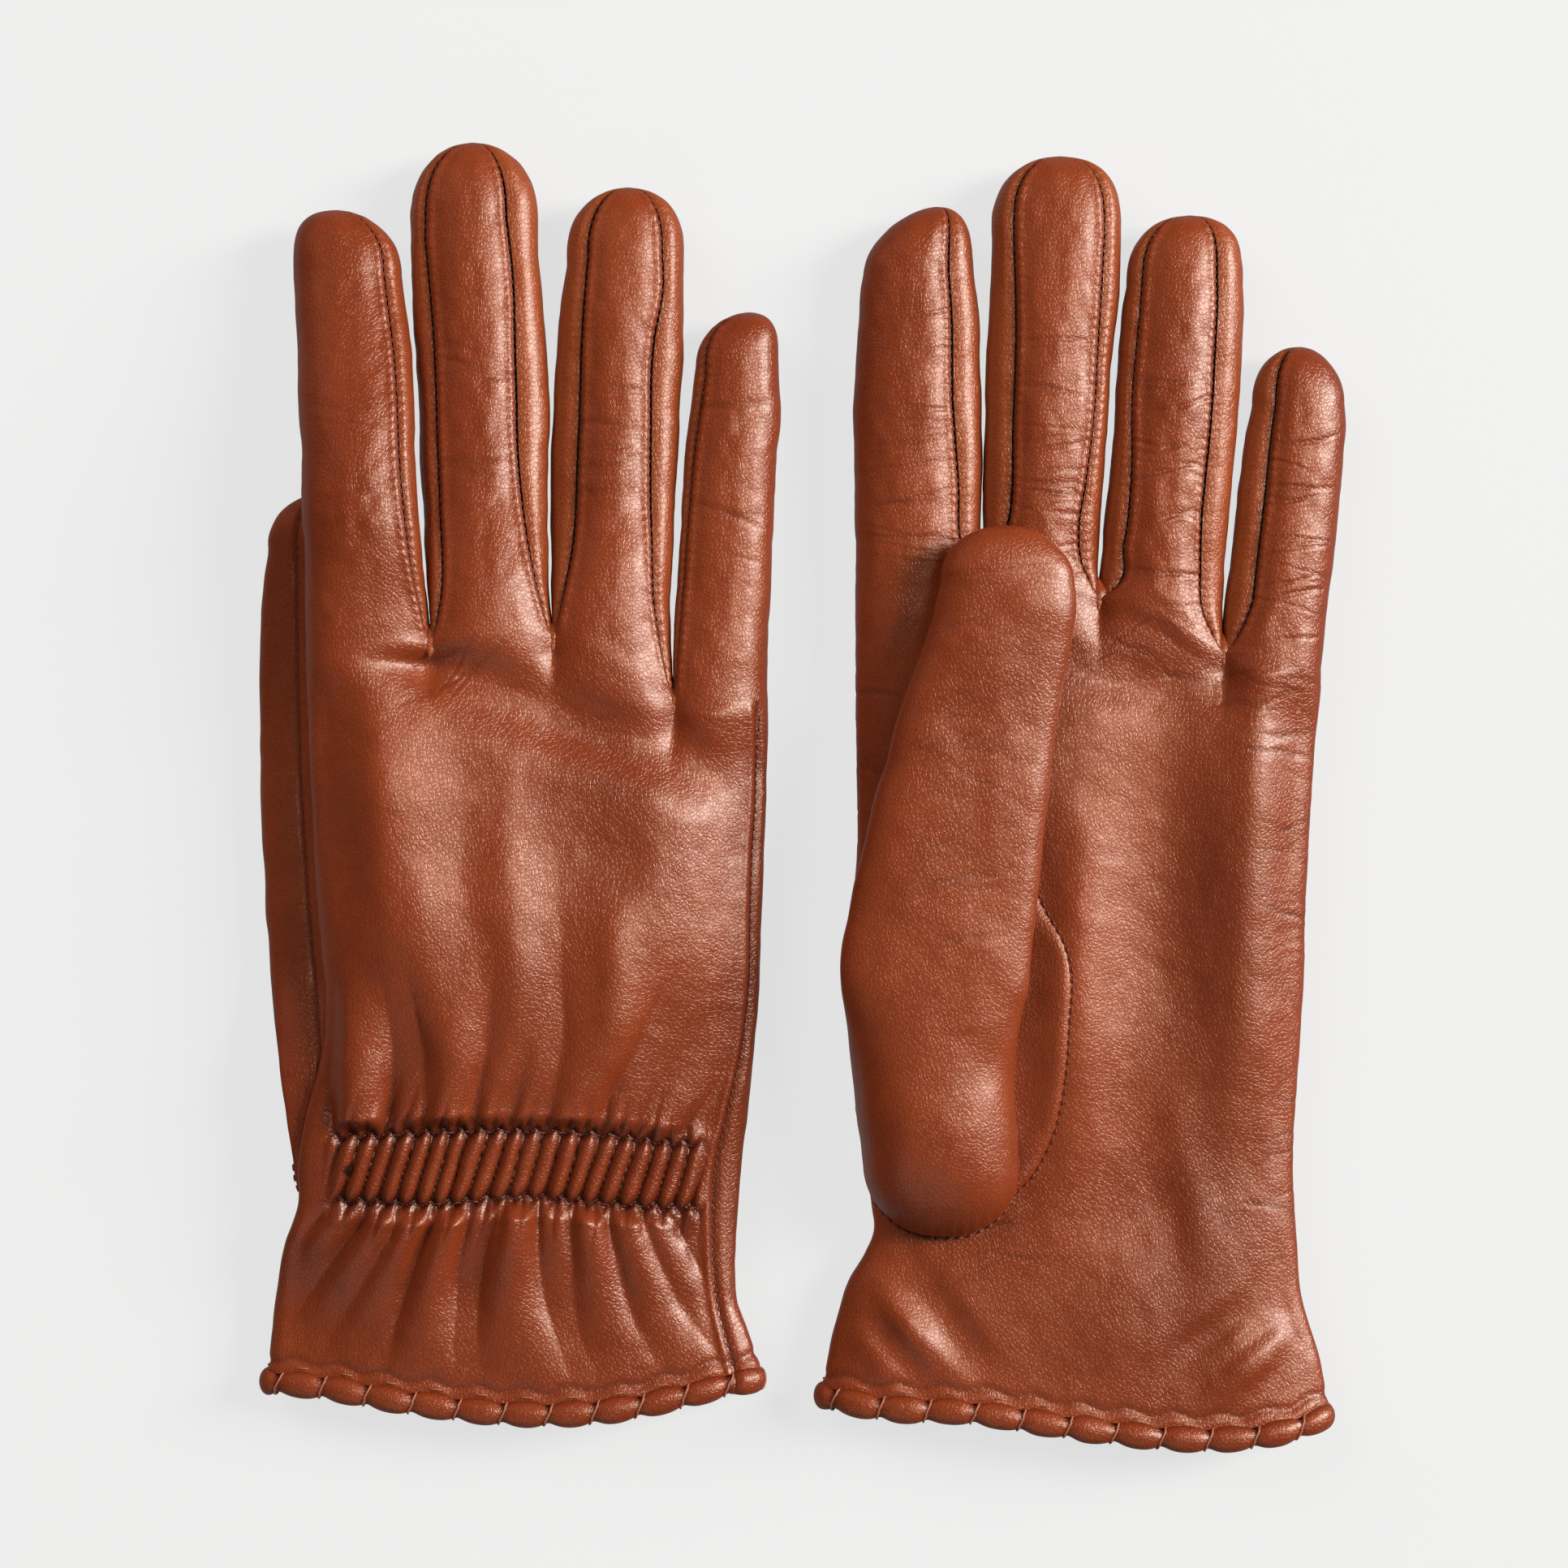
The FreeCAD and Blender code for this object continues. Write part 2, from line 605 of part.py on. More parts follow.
def print_joints(shift):
    """Prints the hinge points and axes in the finished frame."""
    for glove in (RIGHT, LEFT):
        for name in glove["fingers"]:
            point, axis = Finger(glove, name).axis()
            point = place_joint(glove, shift, point)
            print(glove["name"], name, [round(v, 3) for v in point], [round(v, 5) for v in axis])
        point = place_joint(glove, shift, Thumb(glove).pivot)
        print(glove["name"], "thumb", [round(v, 3) for v in point], [0, 0, 1])


def main():
    os.makedirs("parts", exist_ok=True)
    nodes, shift = build()
    print_joints(shift)
    for name, shape in nodes.items():
        shape.exportStep(f"parts/{name}.step")
    print(len(nodes), "nodes, shift", tuple(round(v, 3) for v in shift))


main()
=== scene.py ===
import json
import math
import bpy
import numpy as np
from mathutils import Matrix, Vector


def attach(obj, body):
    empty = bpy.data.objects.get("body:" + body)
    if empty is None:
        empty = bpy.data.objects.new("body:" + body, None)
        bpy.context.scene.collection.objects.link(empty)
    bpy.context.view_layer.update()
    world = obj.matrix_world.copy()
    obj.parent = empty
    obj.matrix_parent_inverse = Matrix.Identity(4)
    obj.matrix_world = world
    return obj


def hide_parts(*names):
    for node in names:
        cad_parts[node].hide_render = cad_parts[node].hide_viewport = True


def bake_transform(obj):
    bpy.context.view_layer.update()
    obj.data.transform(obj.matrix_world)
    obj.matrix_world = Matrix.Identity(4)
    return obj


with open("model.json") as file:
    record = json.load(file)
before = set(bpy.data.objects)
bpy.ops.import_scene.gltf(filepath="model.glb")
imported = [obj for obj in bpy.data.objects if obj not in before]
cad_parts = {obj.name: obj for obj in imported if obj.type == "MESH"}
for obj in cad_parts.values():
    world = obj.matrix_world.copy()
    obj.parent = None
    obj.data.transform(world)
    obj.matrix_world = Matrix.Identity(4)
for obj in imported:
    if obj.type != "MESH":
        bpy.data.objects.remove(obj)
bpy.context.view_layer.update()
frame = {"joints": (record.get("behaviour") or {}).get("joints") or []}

print("frame loaded")

# Lengths are in millimetres until a mesh is made. x runs across the pair, y towards the fingertips.
# Outlines are lists of (y, x). Fingers run from the index to the little finger.
rightGlove = {
    "name": "right", "backUp": True, "seed": 11, "squareness": 2.6,
    # outline, and the seam between the panels; the hem is a list of (x, y)
    "left": [(27.4, -91.3), (5, -90.6), (-22, -89.2), (-36, -88.0), (-46, -88.4), (-59.5, -91.8),
        (-68.5, -93.1), (-74.5, -93.0), (-83.5, -96.0), (-92.5, -97.8), (-108.3, -99.5)],
    "right": [(18.4, -6.3), (0.4, -6.8), (-22, -7.6), (-40, -8.4), (-58, -10.0), (-67, -11.1), (-76, -11.8),
        (-89.5, -12.4), (-94, -12.0), (-98.5, -10.3), (-109, -6.8)],
    "outerSeam": [(18, -8.3), (5, -8.0), (-14.5, -9.0), (-38.5, -9.8), (-47, -10.9), (-58.8, -13.7),
        (-68.5, -15.9), (-79.6, -16.4), (-90.6, -15.9), (-108, -12.0)],
    "hem": [(-99.5, -106.9), (-89.7, -107.4), (-73, -109.9), (-55.5, -112.0), (-42, -112.3),
        (-29.2, -111.2), (-18.8, -109.2), (-6.5, -106.4)],
    # middle height of the left edge and of the right edge, and rise of the dome, from the cuff up
    "leftHeight": [(-109, 6.6), (-92, 7.4), (-80, 12.0), (-67, 13.8), (-50, 14.4), (-10, 15.2), (30, 16.6)],
    "rightHeight": [(-109, 6.6), (-67, 6.0), (-10, 7.0), (30, 7.0)],
    "rise": [(-109, 5.6), (-92, 5.4), (-70, 4.4), (-52, 6.4), (-30, 8.4), (-10, 8.0), (30, 7.2)],
    "crotches": [(-91.3, 27.0), (-68.4, 28.1), (-45.9, 29.2), (-23.8, 17.7), (-6.3, 18.0)],
    "fingers": [
        {"name": "index", "lean": -2.2, "blunt": 2.8, "tip": 109.0, "thick": 7.0,
         "left": [(27, -91.3), (44, -91.5), (59, -92.0), (72.5, -92.7), (84.5, -93.3), (96.5, -94.2)],
         "right": [(28, -68.4), (36, -69.3), (50, -70.2), (63, -71.1), (75.5, -71.8), (87.5, -72.8),
             (98, -74.6)],
         "seamRight": [(28, -68.5), (42, -71.5), (57, -73.3), (80, -75.0), (98, -77.5)],
         "height": [(27, 17.2), (64, 16.4), (85, 11.5), (109, 7.2)]},
        {"name": "middle", "tip": 121.8, "thick": 7.0,
         "left": [(28, -68.4), (36, -69.0), (50, -69.9), (63, -70.8), (75.5, -71.5), (86, -72.3),
             (102.5, -73.0)],
         "right": [(29, -45.9), (42, -46.9), (57, -47.2), (74, -46.9), (81.5, -47.2), (90.5, -48.0),
             (101, -49.1)],
         "seamLeft": [(28, -68.3), (36, -66.4), (54, -66.6), (66.5, -67.2), (86, -68.0), (103, -69.6)],
         "seamRight": [(29, -46.0), (43.6, -49.9), (60, -52.4), (79, -53.2), (99, -53.9), (109, -55.2)],
         "height": [(27, 13.2), (69, 8.6), (121, 7.0)]},
        {"name": "ring", "lean": 0.5, "blunt": 2.5, "tip": 113.5, "thick": 6.9,
         "left": [(29, -45.9), (42, -46.6), (57, -46.9), (69.5, -46.5), (81.5, -45.8), (90.5, -44.9),
             (99, -43.8)],
         "right": [(17.7, -23.8), (36, -24.4), (51, -23.6), (63, -22.9), (72.5, -22.6), (81.5, -22.1),
             (90.5, -21.9), (99.5, -21.9)],
         "seamLeft": [(29, -45.8), (47, -42.1), (63, -41.2), (86, -40.4), (103, -39.2)],
         "seamRight": [(17.7, -23.9), (36, -27.4), (47, -27.9), (66.5, -28.2), (84.6, -27.6), (94, -25.9),
             (103.5, -26.2)],
         "height": [(27, 9.9), (63, 7.6), (113, 7.0)]},
        {"name": "little", "lean": 2.2, "blunt": 2.4, "tip": 90.3, "thick": 6.4,
         "left": [(17.7, -23.8), (33, -23.7), (51, -22.6), (66.5, -21.6), (72.5, -20.8), (80, -19.6)],
         "right": [(18, -6.3), (27, -6.5), (36, -6.0), (45, -5.5), (54, -5.1), (63, -4.6), (72.5, -3.9),
             (79, -4.3)],
         "seamLeft": [(17.7, -23.7), (40, -21.9), (53, -20.9), (66.5, -19.6), (78, -17.8)],
         "seamRight": [(18, -8.3), (36, -8.1), (53, -7.3), (63, -7.9), (78, -8.6), (86, -7.6)],
         "height": [(17, 7.6), (51, 6.9), (90, 6.6)]}],
    "thumb": {"tip": 57.0, "base": -80.0,
        "left": [(56.7, -93.5), (53.0, -98.2), (45.4, -100.0), (27.4, -101.2), (5, -101.3), (-15, -100.4),
            (-31, -99.0), (-49, -96.6), (-67, -94.2)],
        "right": [(56.7, -90.5), (53.0, -82.0), (45.4, -76.6), (27.4, -72.2), (5, -70.0), (-15, -67.8),
            (-31, -66.4), (-49, -66.6), (-67, -70.0)]},
    # swells and hollows: x, y, half width, half length, turn in degrees, height
    "swells": [(-76, -8, 11.5, 34, 11, 4.0), (-53, -26, 6, 24, 6, 1.9), (-34, -36, 4.5, 16, 2, 1.3),
        (-42, 14, 34, 6.0, -20, -2.6), (-66, 24, 13, 3.5, -8, -1.0), (-15, 22, 6, 20, 0, 0.9),
        (-26, -14, 7, 26, 4, 1.0), (-84, -38, 4, 16, -6, 1.0)],
    "palmSwells": [(-40, -20, 14, 26, 0, 1.0), (-20, -60, 8, 22, 10, 0.9), (-45, 10, 26, 5, 0, -0.9)],
    # fields of fine wrinkles: x, y, half width, half height, count, depth, tilt
    "wrinkles": [(-64, 24, 6, 3.0, 12, 0.09, 0.5), (-45, 17, 10, 5, 8, 0.05, 0.4)],
    "palmWrinkles": [(-12, -10, 4, 26, 24, 0.16, 0.2), (-30, 20, 16, 4, 12, 0.12, 0.3),
        (-86, -20, 4, 24, 16, 0.14, 0.2)],
    # darker patches, given like the swells
    "backDarkPatches": [(-36, -2, 9, 26, 4, 0.12), (-88, -84, 12, 20, 0, 0.12)],
    "spot": (-83.5, -68.5, 0.95),
    # gathers: rows of thread, (from x, to x, pitch, slant), and folds as (x, half width, height, reach)
    "upperRow": [(-90, -62.6), (-82, -62.4), (-58, -61.5), (-38, -62.4), (-22, -64.4), (-12, -64.3)],
    "lowerRow": [(-92, -74.2), (-84, -74.4), (-67.6, -75.0), (-51, -73.8), (-38, -75.0), (-22, -76.2),
        (-12, -76.3)],
    "gather": (-86.6, -19.0, 3.38, 0.325),
    "foldsUp": [(-80.5, 3.0, 2.1, 30), (-70.5, 2.6, 0.9, 17), (-64.5, 2.9, 1.9, 33), (-56.5, 2.4, 1.2, 26),
        (-49.5, 3.4, 0.9, 22), (-41.5, 3.4, 1.5, 44), (-33.0, 3.4, 0.8, 26), (-25.0, 3.0, 0.8, 20)],
    "foldsDown": [(-82.0, 2.5, 1.0, 16), (-74.5, 2.3, 1.2, 24), (-69.0, 2.2, 1.4, 28),
        (-62.0, 2.1, 1.7, 32), (-56.5, 1.9, 0.8, 16), (-50.5, 2.6, 2.0, 33), (-44.0, 2.1, 0.9, 22),
        (-38.0, 2.4, 1.5, 30), (-31.0, 2.5, 1.3, 32), (-25.5, 2.2, 0.9, 24)],
}
leftGlove = {
    "name": "left", "backUp": False, "seed": 23, "squareness": 2.6,
    "left": [(30, 10.0), (5, 10.2), (-8.5, 10.4), (-20, 9.6), (-36, 9.2), (-53.5, 10.4), (-62.5, 11.2),
        (-71.5, 12.4), (-76, 13.0), (-80.5, 13.4), (-85, 11.7), (-89.5, 9.0), (-98.5, 6.1), (-112, 3.4)],
    "right": [(24, 96.6), (9.4, 95.5), (-4, 94.6), (-17.6, 93.9), (-35.5, 93.4), (-53.5, 92.2), (-67, 91.5),
        (-80.5, 92.1), (-94, 93.3), (-103, 96.1), (-116.5, 98.6)],
    "outerSeam": [(24, 93.6), (0, 91.6), (-20, 90.6), (-40, 89.6), (-60, 87.6), (-72, 86.6), (-84, 87.4),
        (-100, 90.6), (-116, 94.0)],
    "hem": [(3.2, -109.5), (14.7, -111.2), (31.5, -112.0), (49.5, -114.6), (68.5, -116.8), (78, -117.0),
        (87.3, -116.0), (98.8, -112.8)],
    "leftHeight": [(-112, 6.6), (-72, 6.8), (-10, 7.2), (30, 7.3)],
    "rightHeight": [(-112, 6.6), (-72, 6.2), (-10, 7.0), (30, 7.0)],
    "rise": [(-112, 5.8), (-90, 5.6), (-72, 5.6), (-40, 6.6), (-10, 7.0), (30, 7.0)],
    "crotches": [(10.0, 36.0), (33.4, 37.2), (55.0, 37.0), (78.1, 26.7), (96.6, 24.0)],
    "fingers": [
        {"name": "index", "lean": 3.6, "blunt": 1.9, "tip": 109.9, "thick": 7.0,
         "left": [(30, 10.0), (50, 9.9), (77, 9.9), (86, 10.4), (95, 11.0), (100, 12.0)],
         "right": [(37, 33.4), (50, 33.2), (63, 33.5), (77, 33.5), (90.6, 33.0), (100, 31.8)],
         "seamRight": [(37, 33.3), (48, 29.1), (57, 28.8), (67, 28.1), (80, 27.1), (94, 26.4)],
         "height": [(37, 7.3), (109, 7.0)]},
        {"name": "middle", "lean": 0.4, "blunt": 3.0, "tip": 119.3, "thick": 7.0,
         "left": [(37, 33.4), (50, 33.7), (63, 33.9), (77, 34.1), (86, 34.5), (95, 34.9), (104, 35.6)],
         "right": [(37, 55.0), (50, 55.6), (64, 56.5), (77, 57.4), (86, 58.2), (95, 59.1), (105, 59.5)],
         "seamLeft": [(37, 33.5), (50, 38.2), (70, 39.4), (87, 39.9), (104, 39.4)],
         "seamRight": [(37, 54.9), (44, 51.6), (50, 51.1), (57, 52.2), (70, 53.9), (87, 54.9), (104, 55.9)],
         "height": [(37, 7.3), (119, 7.0)]},
        {"name": "ring", "lean": 1.2, "blunt": 3.0, "tip": 108.3, "thick": 6.9,
         "left": [(37, 55.0), (50, 56.2), (64, 57.8), (77, 58.6), (87.5, 59.4), (95, 60.3), (101, 61.6)],
         "right": [(26.7, 78.1), (40.5, 78.6), (57, 80.0), (70.6, 81.3), (84.5, 82.1), (94, 82.2),
             (102, 81.2)],
         "seamLeft": [(37, 55.1), (38.4, 57.4), (47, 59.8), (60, 61.2), (74, 61.2), (87, 62.4),
             (101, 63.6)],
         "seamRight": [(26.7, 78.0), (34, 74.2), (44, 73.6), (60, 74.2), (77, 75.3), (94, 76.6)],
         "height": [(27, 7.2), (108, 6.9)]},
        {"name": "little", "tip": 83.9, "thick": 6.4,
         "left": [(26.7, 78.1), (42, 79.6), (57, 81.4), (70.6, 83.2), (75, 84.2)],
         "right": [(24, 96.6), (37, 98.1), (50, 99.8), (63, 100.8), (71.7, 101.2), (75, 100.8)],
         "seamLeft": [(26.7, 78.2), (29, 80.2), (37, 84.0), (47, 86.7), (57, 87.8), (67, 88.9),
             (74.5, 88.4)],
         "seamRight": [(24, 93.6), (50, 96.6), (74, 97.6)],
         "height": [(24, 6.7), (84, 6.4)]}],
    "thumb": {"tip": 49.9, "base": -81.4,
        "left": [(46.0, 29.4), (41.4, 26.6), (31.3, 23.4), (18, 18.7), (4.6, 15.0), (-8.8, 11.5),
            (-22.2, 8.4), (-31, 7.2), (-39, 7.6), (-52.9, 9.4), (-68.5, 11.9)],
        "right": [(42.0, 49.6), (35, 50.0), (31.3, 49.7), (21.3, 48.4), (11.2, 46.6), (-8.8, 43.8),
            (-28.9, 41.9), (-49, 39.6), (-68.5, 40.2)]},
    "swells": [(40, -20, 12, 26, 0, 1.2), (70, -10, 12, 22, 4, 1.0), (55, 18, 34, 4.5, -8, -1.2)],
    "palmSwells": [(51, -36, 6.5, 30, -3, 3.0), (68, -22, 11, 40, 2, -2.2), (86, -28, 10, 58, 0, 2.7),
        (73, -74, 5, 20, 12, 1.2), (84, -62, 4, 14, 0, -1.0), (86, -103, 12, 2.8, 38, 1.5),
        (76, -99, 10, 3.0, 38, -1.1), (18, -96, 11, 2.6, -50, 1.3), (11, -101, 10, 2.4, -50, 1.2),
        (28, -98, 11, 3.4, -52, -1.0), (86, 2, 6, 24, 0, 0.9), (60, 22, 26, 5, -12, -1.0),
        (58, -96, 9, 14, 0, 0.8)],
    "wrinkles": [(14, 10, 4, 18, 16, 0.12, 0.2), (56, 22, 18, 4, 10, 0.1, 0.3)],
    "palmWrinkles": [(92, -6, 4, 24, 22, 0.05, 0.3), (88, 17, 7, 5, 10, 0.085, 0.3),
        (60, 26, 10, 5, 10, 0.08, 0.4), (14, 8, 4, 12, 10, 0.12, 0.3), (91, -66, 4, 14, 8, 0.05, 0.3),
        (36, -86, 8, 5, 8, 0.06, 0.3)],
    # painted shade: the palm's right half made darker, and darker patches near the cuff, given like the
    # swells
    "palmPaintedShade": [(74, -24, 12, 50, 0, 0.3), (76, -88, 14, 24, 0, 0.22), (50, -98, 26, 12, 0, 0.18)],
    "upperRow": [(10, -66.6), (50, -67.4), (92, -66.4)],
    "lowerRow": [(10, -78.8), (50, -79.4), (92, -78.4)],
    "gather": (20.5, 83.0, 3.4, -0.3),
    "foldsUp": [(25, 3.0, 1.5, 28), (36, 2.8, 1.1, 20), (45, 3.0, 1.4, 32), (55, 2.6, 1.0, 24),
        (63, 3.2, 1.3, 36), (73, 3.0, 1.0, 24)],
    "foldsDown": [(24, 2.4, 1.0, 18), (33, 2.3, 1.2, 26), (42, 2.2, 1.4, 30), (51, 2.2, 1.0, 20),
        (59, 2.5, 1.5, 30), (68, 2.4, 1.0, 24), (77, 2.4, 1.1, 26)],
}


# curves, waves and meshes

def ease(t):
    t = np.clip(t, 0, 1)
    return t * t * (3 - 2 * t)


def mix(a, b, t):
    return a + (b - a) * t


def bell(t):
    return np.exp(-t**2)


def fading(t):     # 1 up to zero, falling off above it
    return np.exp(-np.clip(t, 0, None))


def unit(v):
    return v / np.maximum(np.linalg.norm(v, axis=-1, keepdims=True), 1e-9)


def through(points, at):     # a smooth line through (position, value) pairs, level beyond its ends
    points = np.array(sorted(points), float)
    p, v = points[:, 0], points[:, 1]
    slope = np.gradient(v, p)
    at = np.clip(at, p[0], p[-1])
    i = np.clip(np.searchsorted(p, at, side="right") - 1, 0, len(p) - 2)
    gap = p[i + 1] - p[i]
    t = (at - p[i]) / gap
    return ((2 * t**3 - 3 * t**2 + 1) * v[i] + (t**3 - 2 * t**2 + t) * gap * slope[i]
            + (-2 * t**3 + 3 * t**2) * v[i + 1] + (t**3 - t**2) * gap * slope[i + 1])


def cloud(x, y, size, seed):     # soft random waves, -1 to 1
    cells = 128
    table = np.random.default_rng(seed).uniform(-1, 1, (cells, cells))
    x, y = np.asarray(x, float) / size + 400, np.asarray(y, float) / size + 400
    i, j = np.floor(x).astype(int), np.floor(y).astype(int)
    u, v = ease(x - i), ease(y - j)
    i, j, i1, j1 = i % cells, j % cells, (i + 1) % cells, (j + 1) % cells
    return mix(mix(table[i, j], table[i1, j], u), mix(table[i, j1], table[i1, j1], u), v)


def runOf(line):     # distance along a line of points
    return np.concatenate([[0], np.cumsum(np.linalg.norm(np.diff(line, axis=0), axis=1))])


def readAt(spots, run, rows):     # rows of three values, read at distances along a line
    return np.stack([np.interp(spots, run, rows[:, a]) for a in range(3)], axis=1)


def gridNormals(points):     # of a grid whose last column joins its first
    across = (np.roll(points, -1, 1) - np.roll(points, 1, 1)) / 2
    return unit(np.cross(across, np.gradient(points, axis=0)))


def meshFromArrays(name, points, faces, material, shade=None, normals=None):
    # points that coincide are joined, so seams and poles are closed
    _, first, back = np.unique(np.round(points, 3), axis=0, return_index=True, return_inverse=True)
    back = back.ravel()
    faces = back[faces]
    points = points[first]
    whole, triangles = np.zeros((0, 4), int), faces
    if faces.shape[1] == 4:
        repeated = faces == np.roll(faces, -1, axis=1)
        whole = faces[~repeated.any(1)]
        pinched = faces[repeated.sum(1) == 1]
        triangles = pinched[pinched != np.roll(pinched, -1, axis=1)].reshape(-1, 3)
    loops = np.concatenate([whole.ravel(), triangles.ravel()]).astype(np.int32)
    starts = np.concatenate([np.arange(len(whole)) * 4, len(whole) * 4 + np.arange(len(triangles)) * 3])
    mesh = bpy.data.meshes.new(name)
    mesh.vertices.add(len(points))
    mesh.vertices.foreach_set("co", (points / 1000).astype(np.float32).ravel())
    mesh.loops.add(len(loops))
    mesh.loops.foreach_set("vertex_index", loops)
    mesh.polygons.add(len(starts))
    mesh.polygons.foreach_set("loop_start", starts.astype(np.int32))
    mesh.polygons.foreach_set("use_smooth", np.ones(len(starts), bool))
    mesh.update(calc_edges=True)
    if shade is not None:
        kept = shade.ravel()[first].astype(np.float32)
        mesh.attributes.new("shade", "FLOAT", "POINT").data.foreach_set("value", kept)
    if normals is not None:
        total = np.zeros((len(points), 3))
        np.add.at(total, back, normals.reshape(-1, 3))
        mesh.normals_split_custom_set_from_vertices(unit(total).tolist())
    mesh.materials.append(material)
    piece = bpy.data.objects.new(name, mesh)
    bpy.context.collection.objects.link(piece)
    return piece


def gridFaces(rows, columns, closed=False):
    i, j = np.meshgrid(np.arange(rows - 1), np.arange(columns if closed else columns - 1), indexing="ij")
    a = i * columns + j
    b = i * columns + (j + 1) % columns
    return np.stack([a, b, b + columns, a + columns], axis=-1).reshape(-1, 4)


def gridPiece(name, points, material, closed=False, shade=None, normals=None, flip=False):
    faces = gridFaces(points.shape[0], points.shape[1], closed)
    if flip:
        faces = faces[:, ::-1]
    return meshFromArrays(name, points.reshape(-1, 3), faces, material, shade, normals)


def threadPiece(name, paths, radius, material):     # short threads, each along its own few points
    sides = 6
    turn = np.arange(sides) * 2 * np.pi / sides
    points, quads, ends, count = [], [], [], 0
    for path in paths:
        path = np.asarray(path, float)
        way = unit(np.gradient(path, axis=0))
        side = unit(np.cross(way, (0.13, 0.21, 0.97)))     # no thread runs this way
        up = np.cross(side, way)
        size = np.full(len(path), radius)
        size[[0, -1]] *= 0.45
        out = side[:, None] * np.cos(turn)[None, :, None] + up[:, None] * np.sin(turn)[None, :, None]
        ring = path[:, None] + size[:, None, None] * out
        points += [ring.reshape(-1, 3), path[:1] - way[:1] * radius / 2, path[-1:] + way[-1:] * radius / 2]
        quads.append(gridFaces(len(path), sides, True)[:, ::-1] + count)
        tip = count + len(path) * sides
        for k in range(sides):
            after = (k + 1) % sides
            ends += [(count + k, count + after, tip), (tip - sides + after, tip - sides + k, tip + 1)]
        count = tip + 2
    quads = np.vstack(quads)
    faces = np.vstack([quads[:, [0, 1, 2]], quads[:, [0, 2, 3]], ends])
    return meshFromArrays(name, np.vstack(points), faces, material)


def stitchesAlong(line, normals, pitch, length, lift, sway=0.0):     # dashes on a sewn line
    run = runOf(line)
    part = np.array([-0.5, -0.25, 0, 0.25, 0.5]) * length
    rise = np.array([-0.25, 0.75, 1, 0.75, -0.25])[:, None] * lift
    paths = []
    for k, at in enumerate(np.arange(pitch / 2, run[-1] - pitch / 2, pitch)):
        path = readAt(at + part, run, line) + readAt(at + part, run, normals) * rise
        paths.append(path + np.array([sway * (k % 2 - 0.5), 0, 0]))
    return paths


def jointPlace(name):
    return next(np.array(j["pos_m"]) * 1000 for j in frame["joints"] if j["name"] == name)


# The hand and the fingers as one skin. A finger's section runs up the strip on its left, over the top,
# down the strip on its right and back underneath; the hand's ring has the four tops and undersides in a row.
topColumns, sideColumns, fingerRows, handRows = 56, 14, 200, 320
s, n = sideColumns, topColumns
leftStrip, topSide = slice(0, s), slice(s, s + n)
rightStrip, underSide = slice(s + n, 2 * s + n), slice(2 * s + n, 2 * s + 2 * n)
handTop, handRight = slice(s, s + 4 * n), slice(s + 4 * n, 2 * s + 4 * n)
handUnder = slice(2 * s + 4 * n, None)


def panelEnd(g):     # first column of the ring that is past the upper panel
    return s + 4 * n if g["backUp"] else 2 * s + 4 * n


def seamColumn(g):     # column of the ring on the outer seam
    return panelEnd(g) - (1 if g["backUp"] else 0)


def handLimits(g, y):
    return through(g["left"], y), through(g["right"], y)


def floorHeight(g, x, y):     # what the glove rests on: the table, or the thumb under the palm
    if g["backUp"]:
        over = 1 - ease((x + 66.0) / 16.0)
        return mix(0.25, 10.0, over * ease((y + 96) / 18) * (1 - ease((y - 48) / 14)))
    return 0.25 + 1.1 * (1 - ease((abs(y + 73) - 8) / 9)) + 0 * x


def handHeight(g, share, y, top):     # height of the hand's skin at a share of its width
    left, right = handLimits(g, y)
    middle = mix(through(g["leftHeight"], y), through(g["rightHeight"], y), share)
    power = g["squareness"] if top else g["squareness"] + 0.9
    swell = np.clip(1 - np.abs(2 * share - 1) ** power, 0, 1) ** (1 / power)
    if top:
        return middle + through(g["rise"], y) * swell
    return middle - np.maximum(middle - floorHeight(g, mix(left, right, share), y), 0.5) * swell


def seamReach(f, side, y, centre, half):     # where a side's seam lies: 0 in the middle, 1 at the edge
    line = f["seamLeft" if side < 0 else "seamRight"]
    return np.clip((through(line, y) - centre) * side / half, 0.5, 0.99)


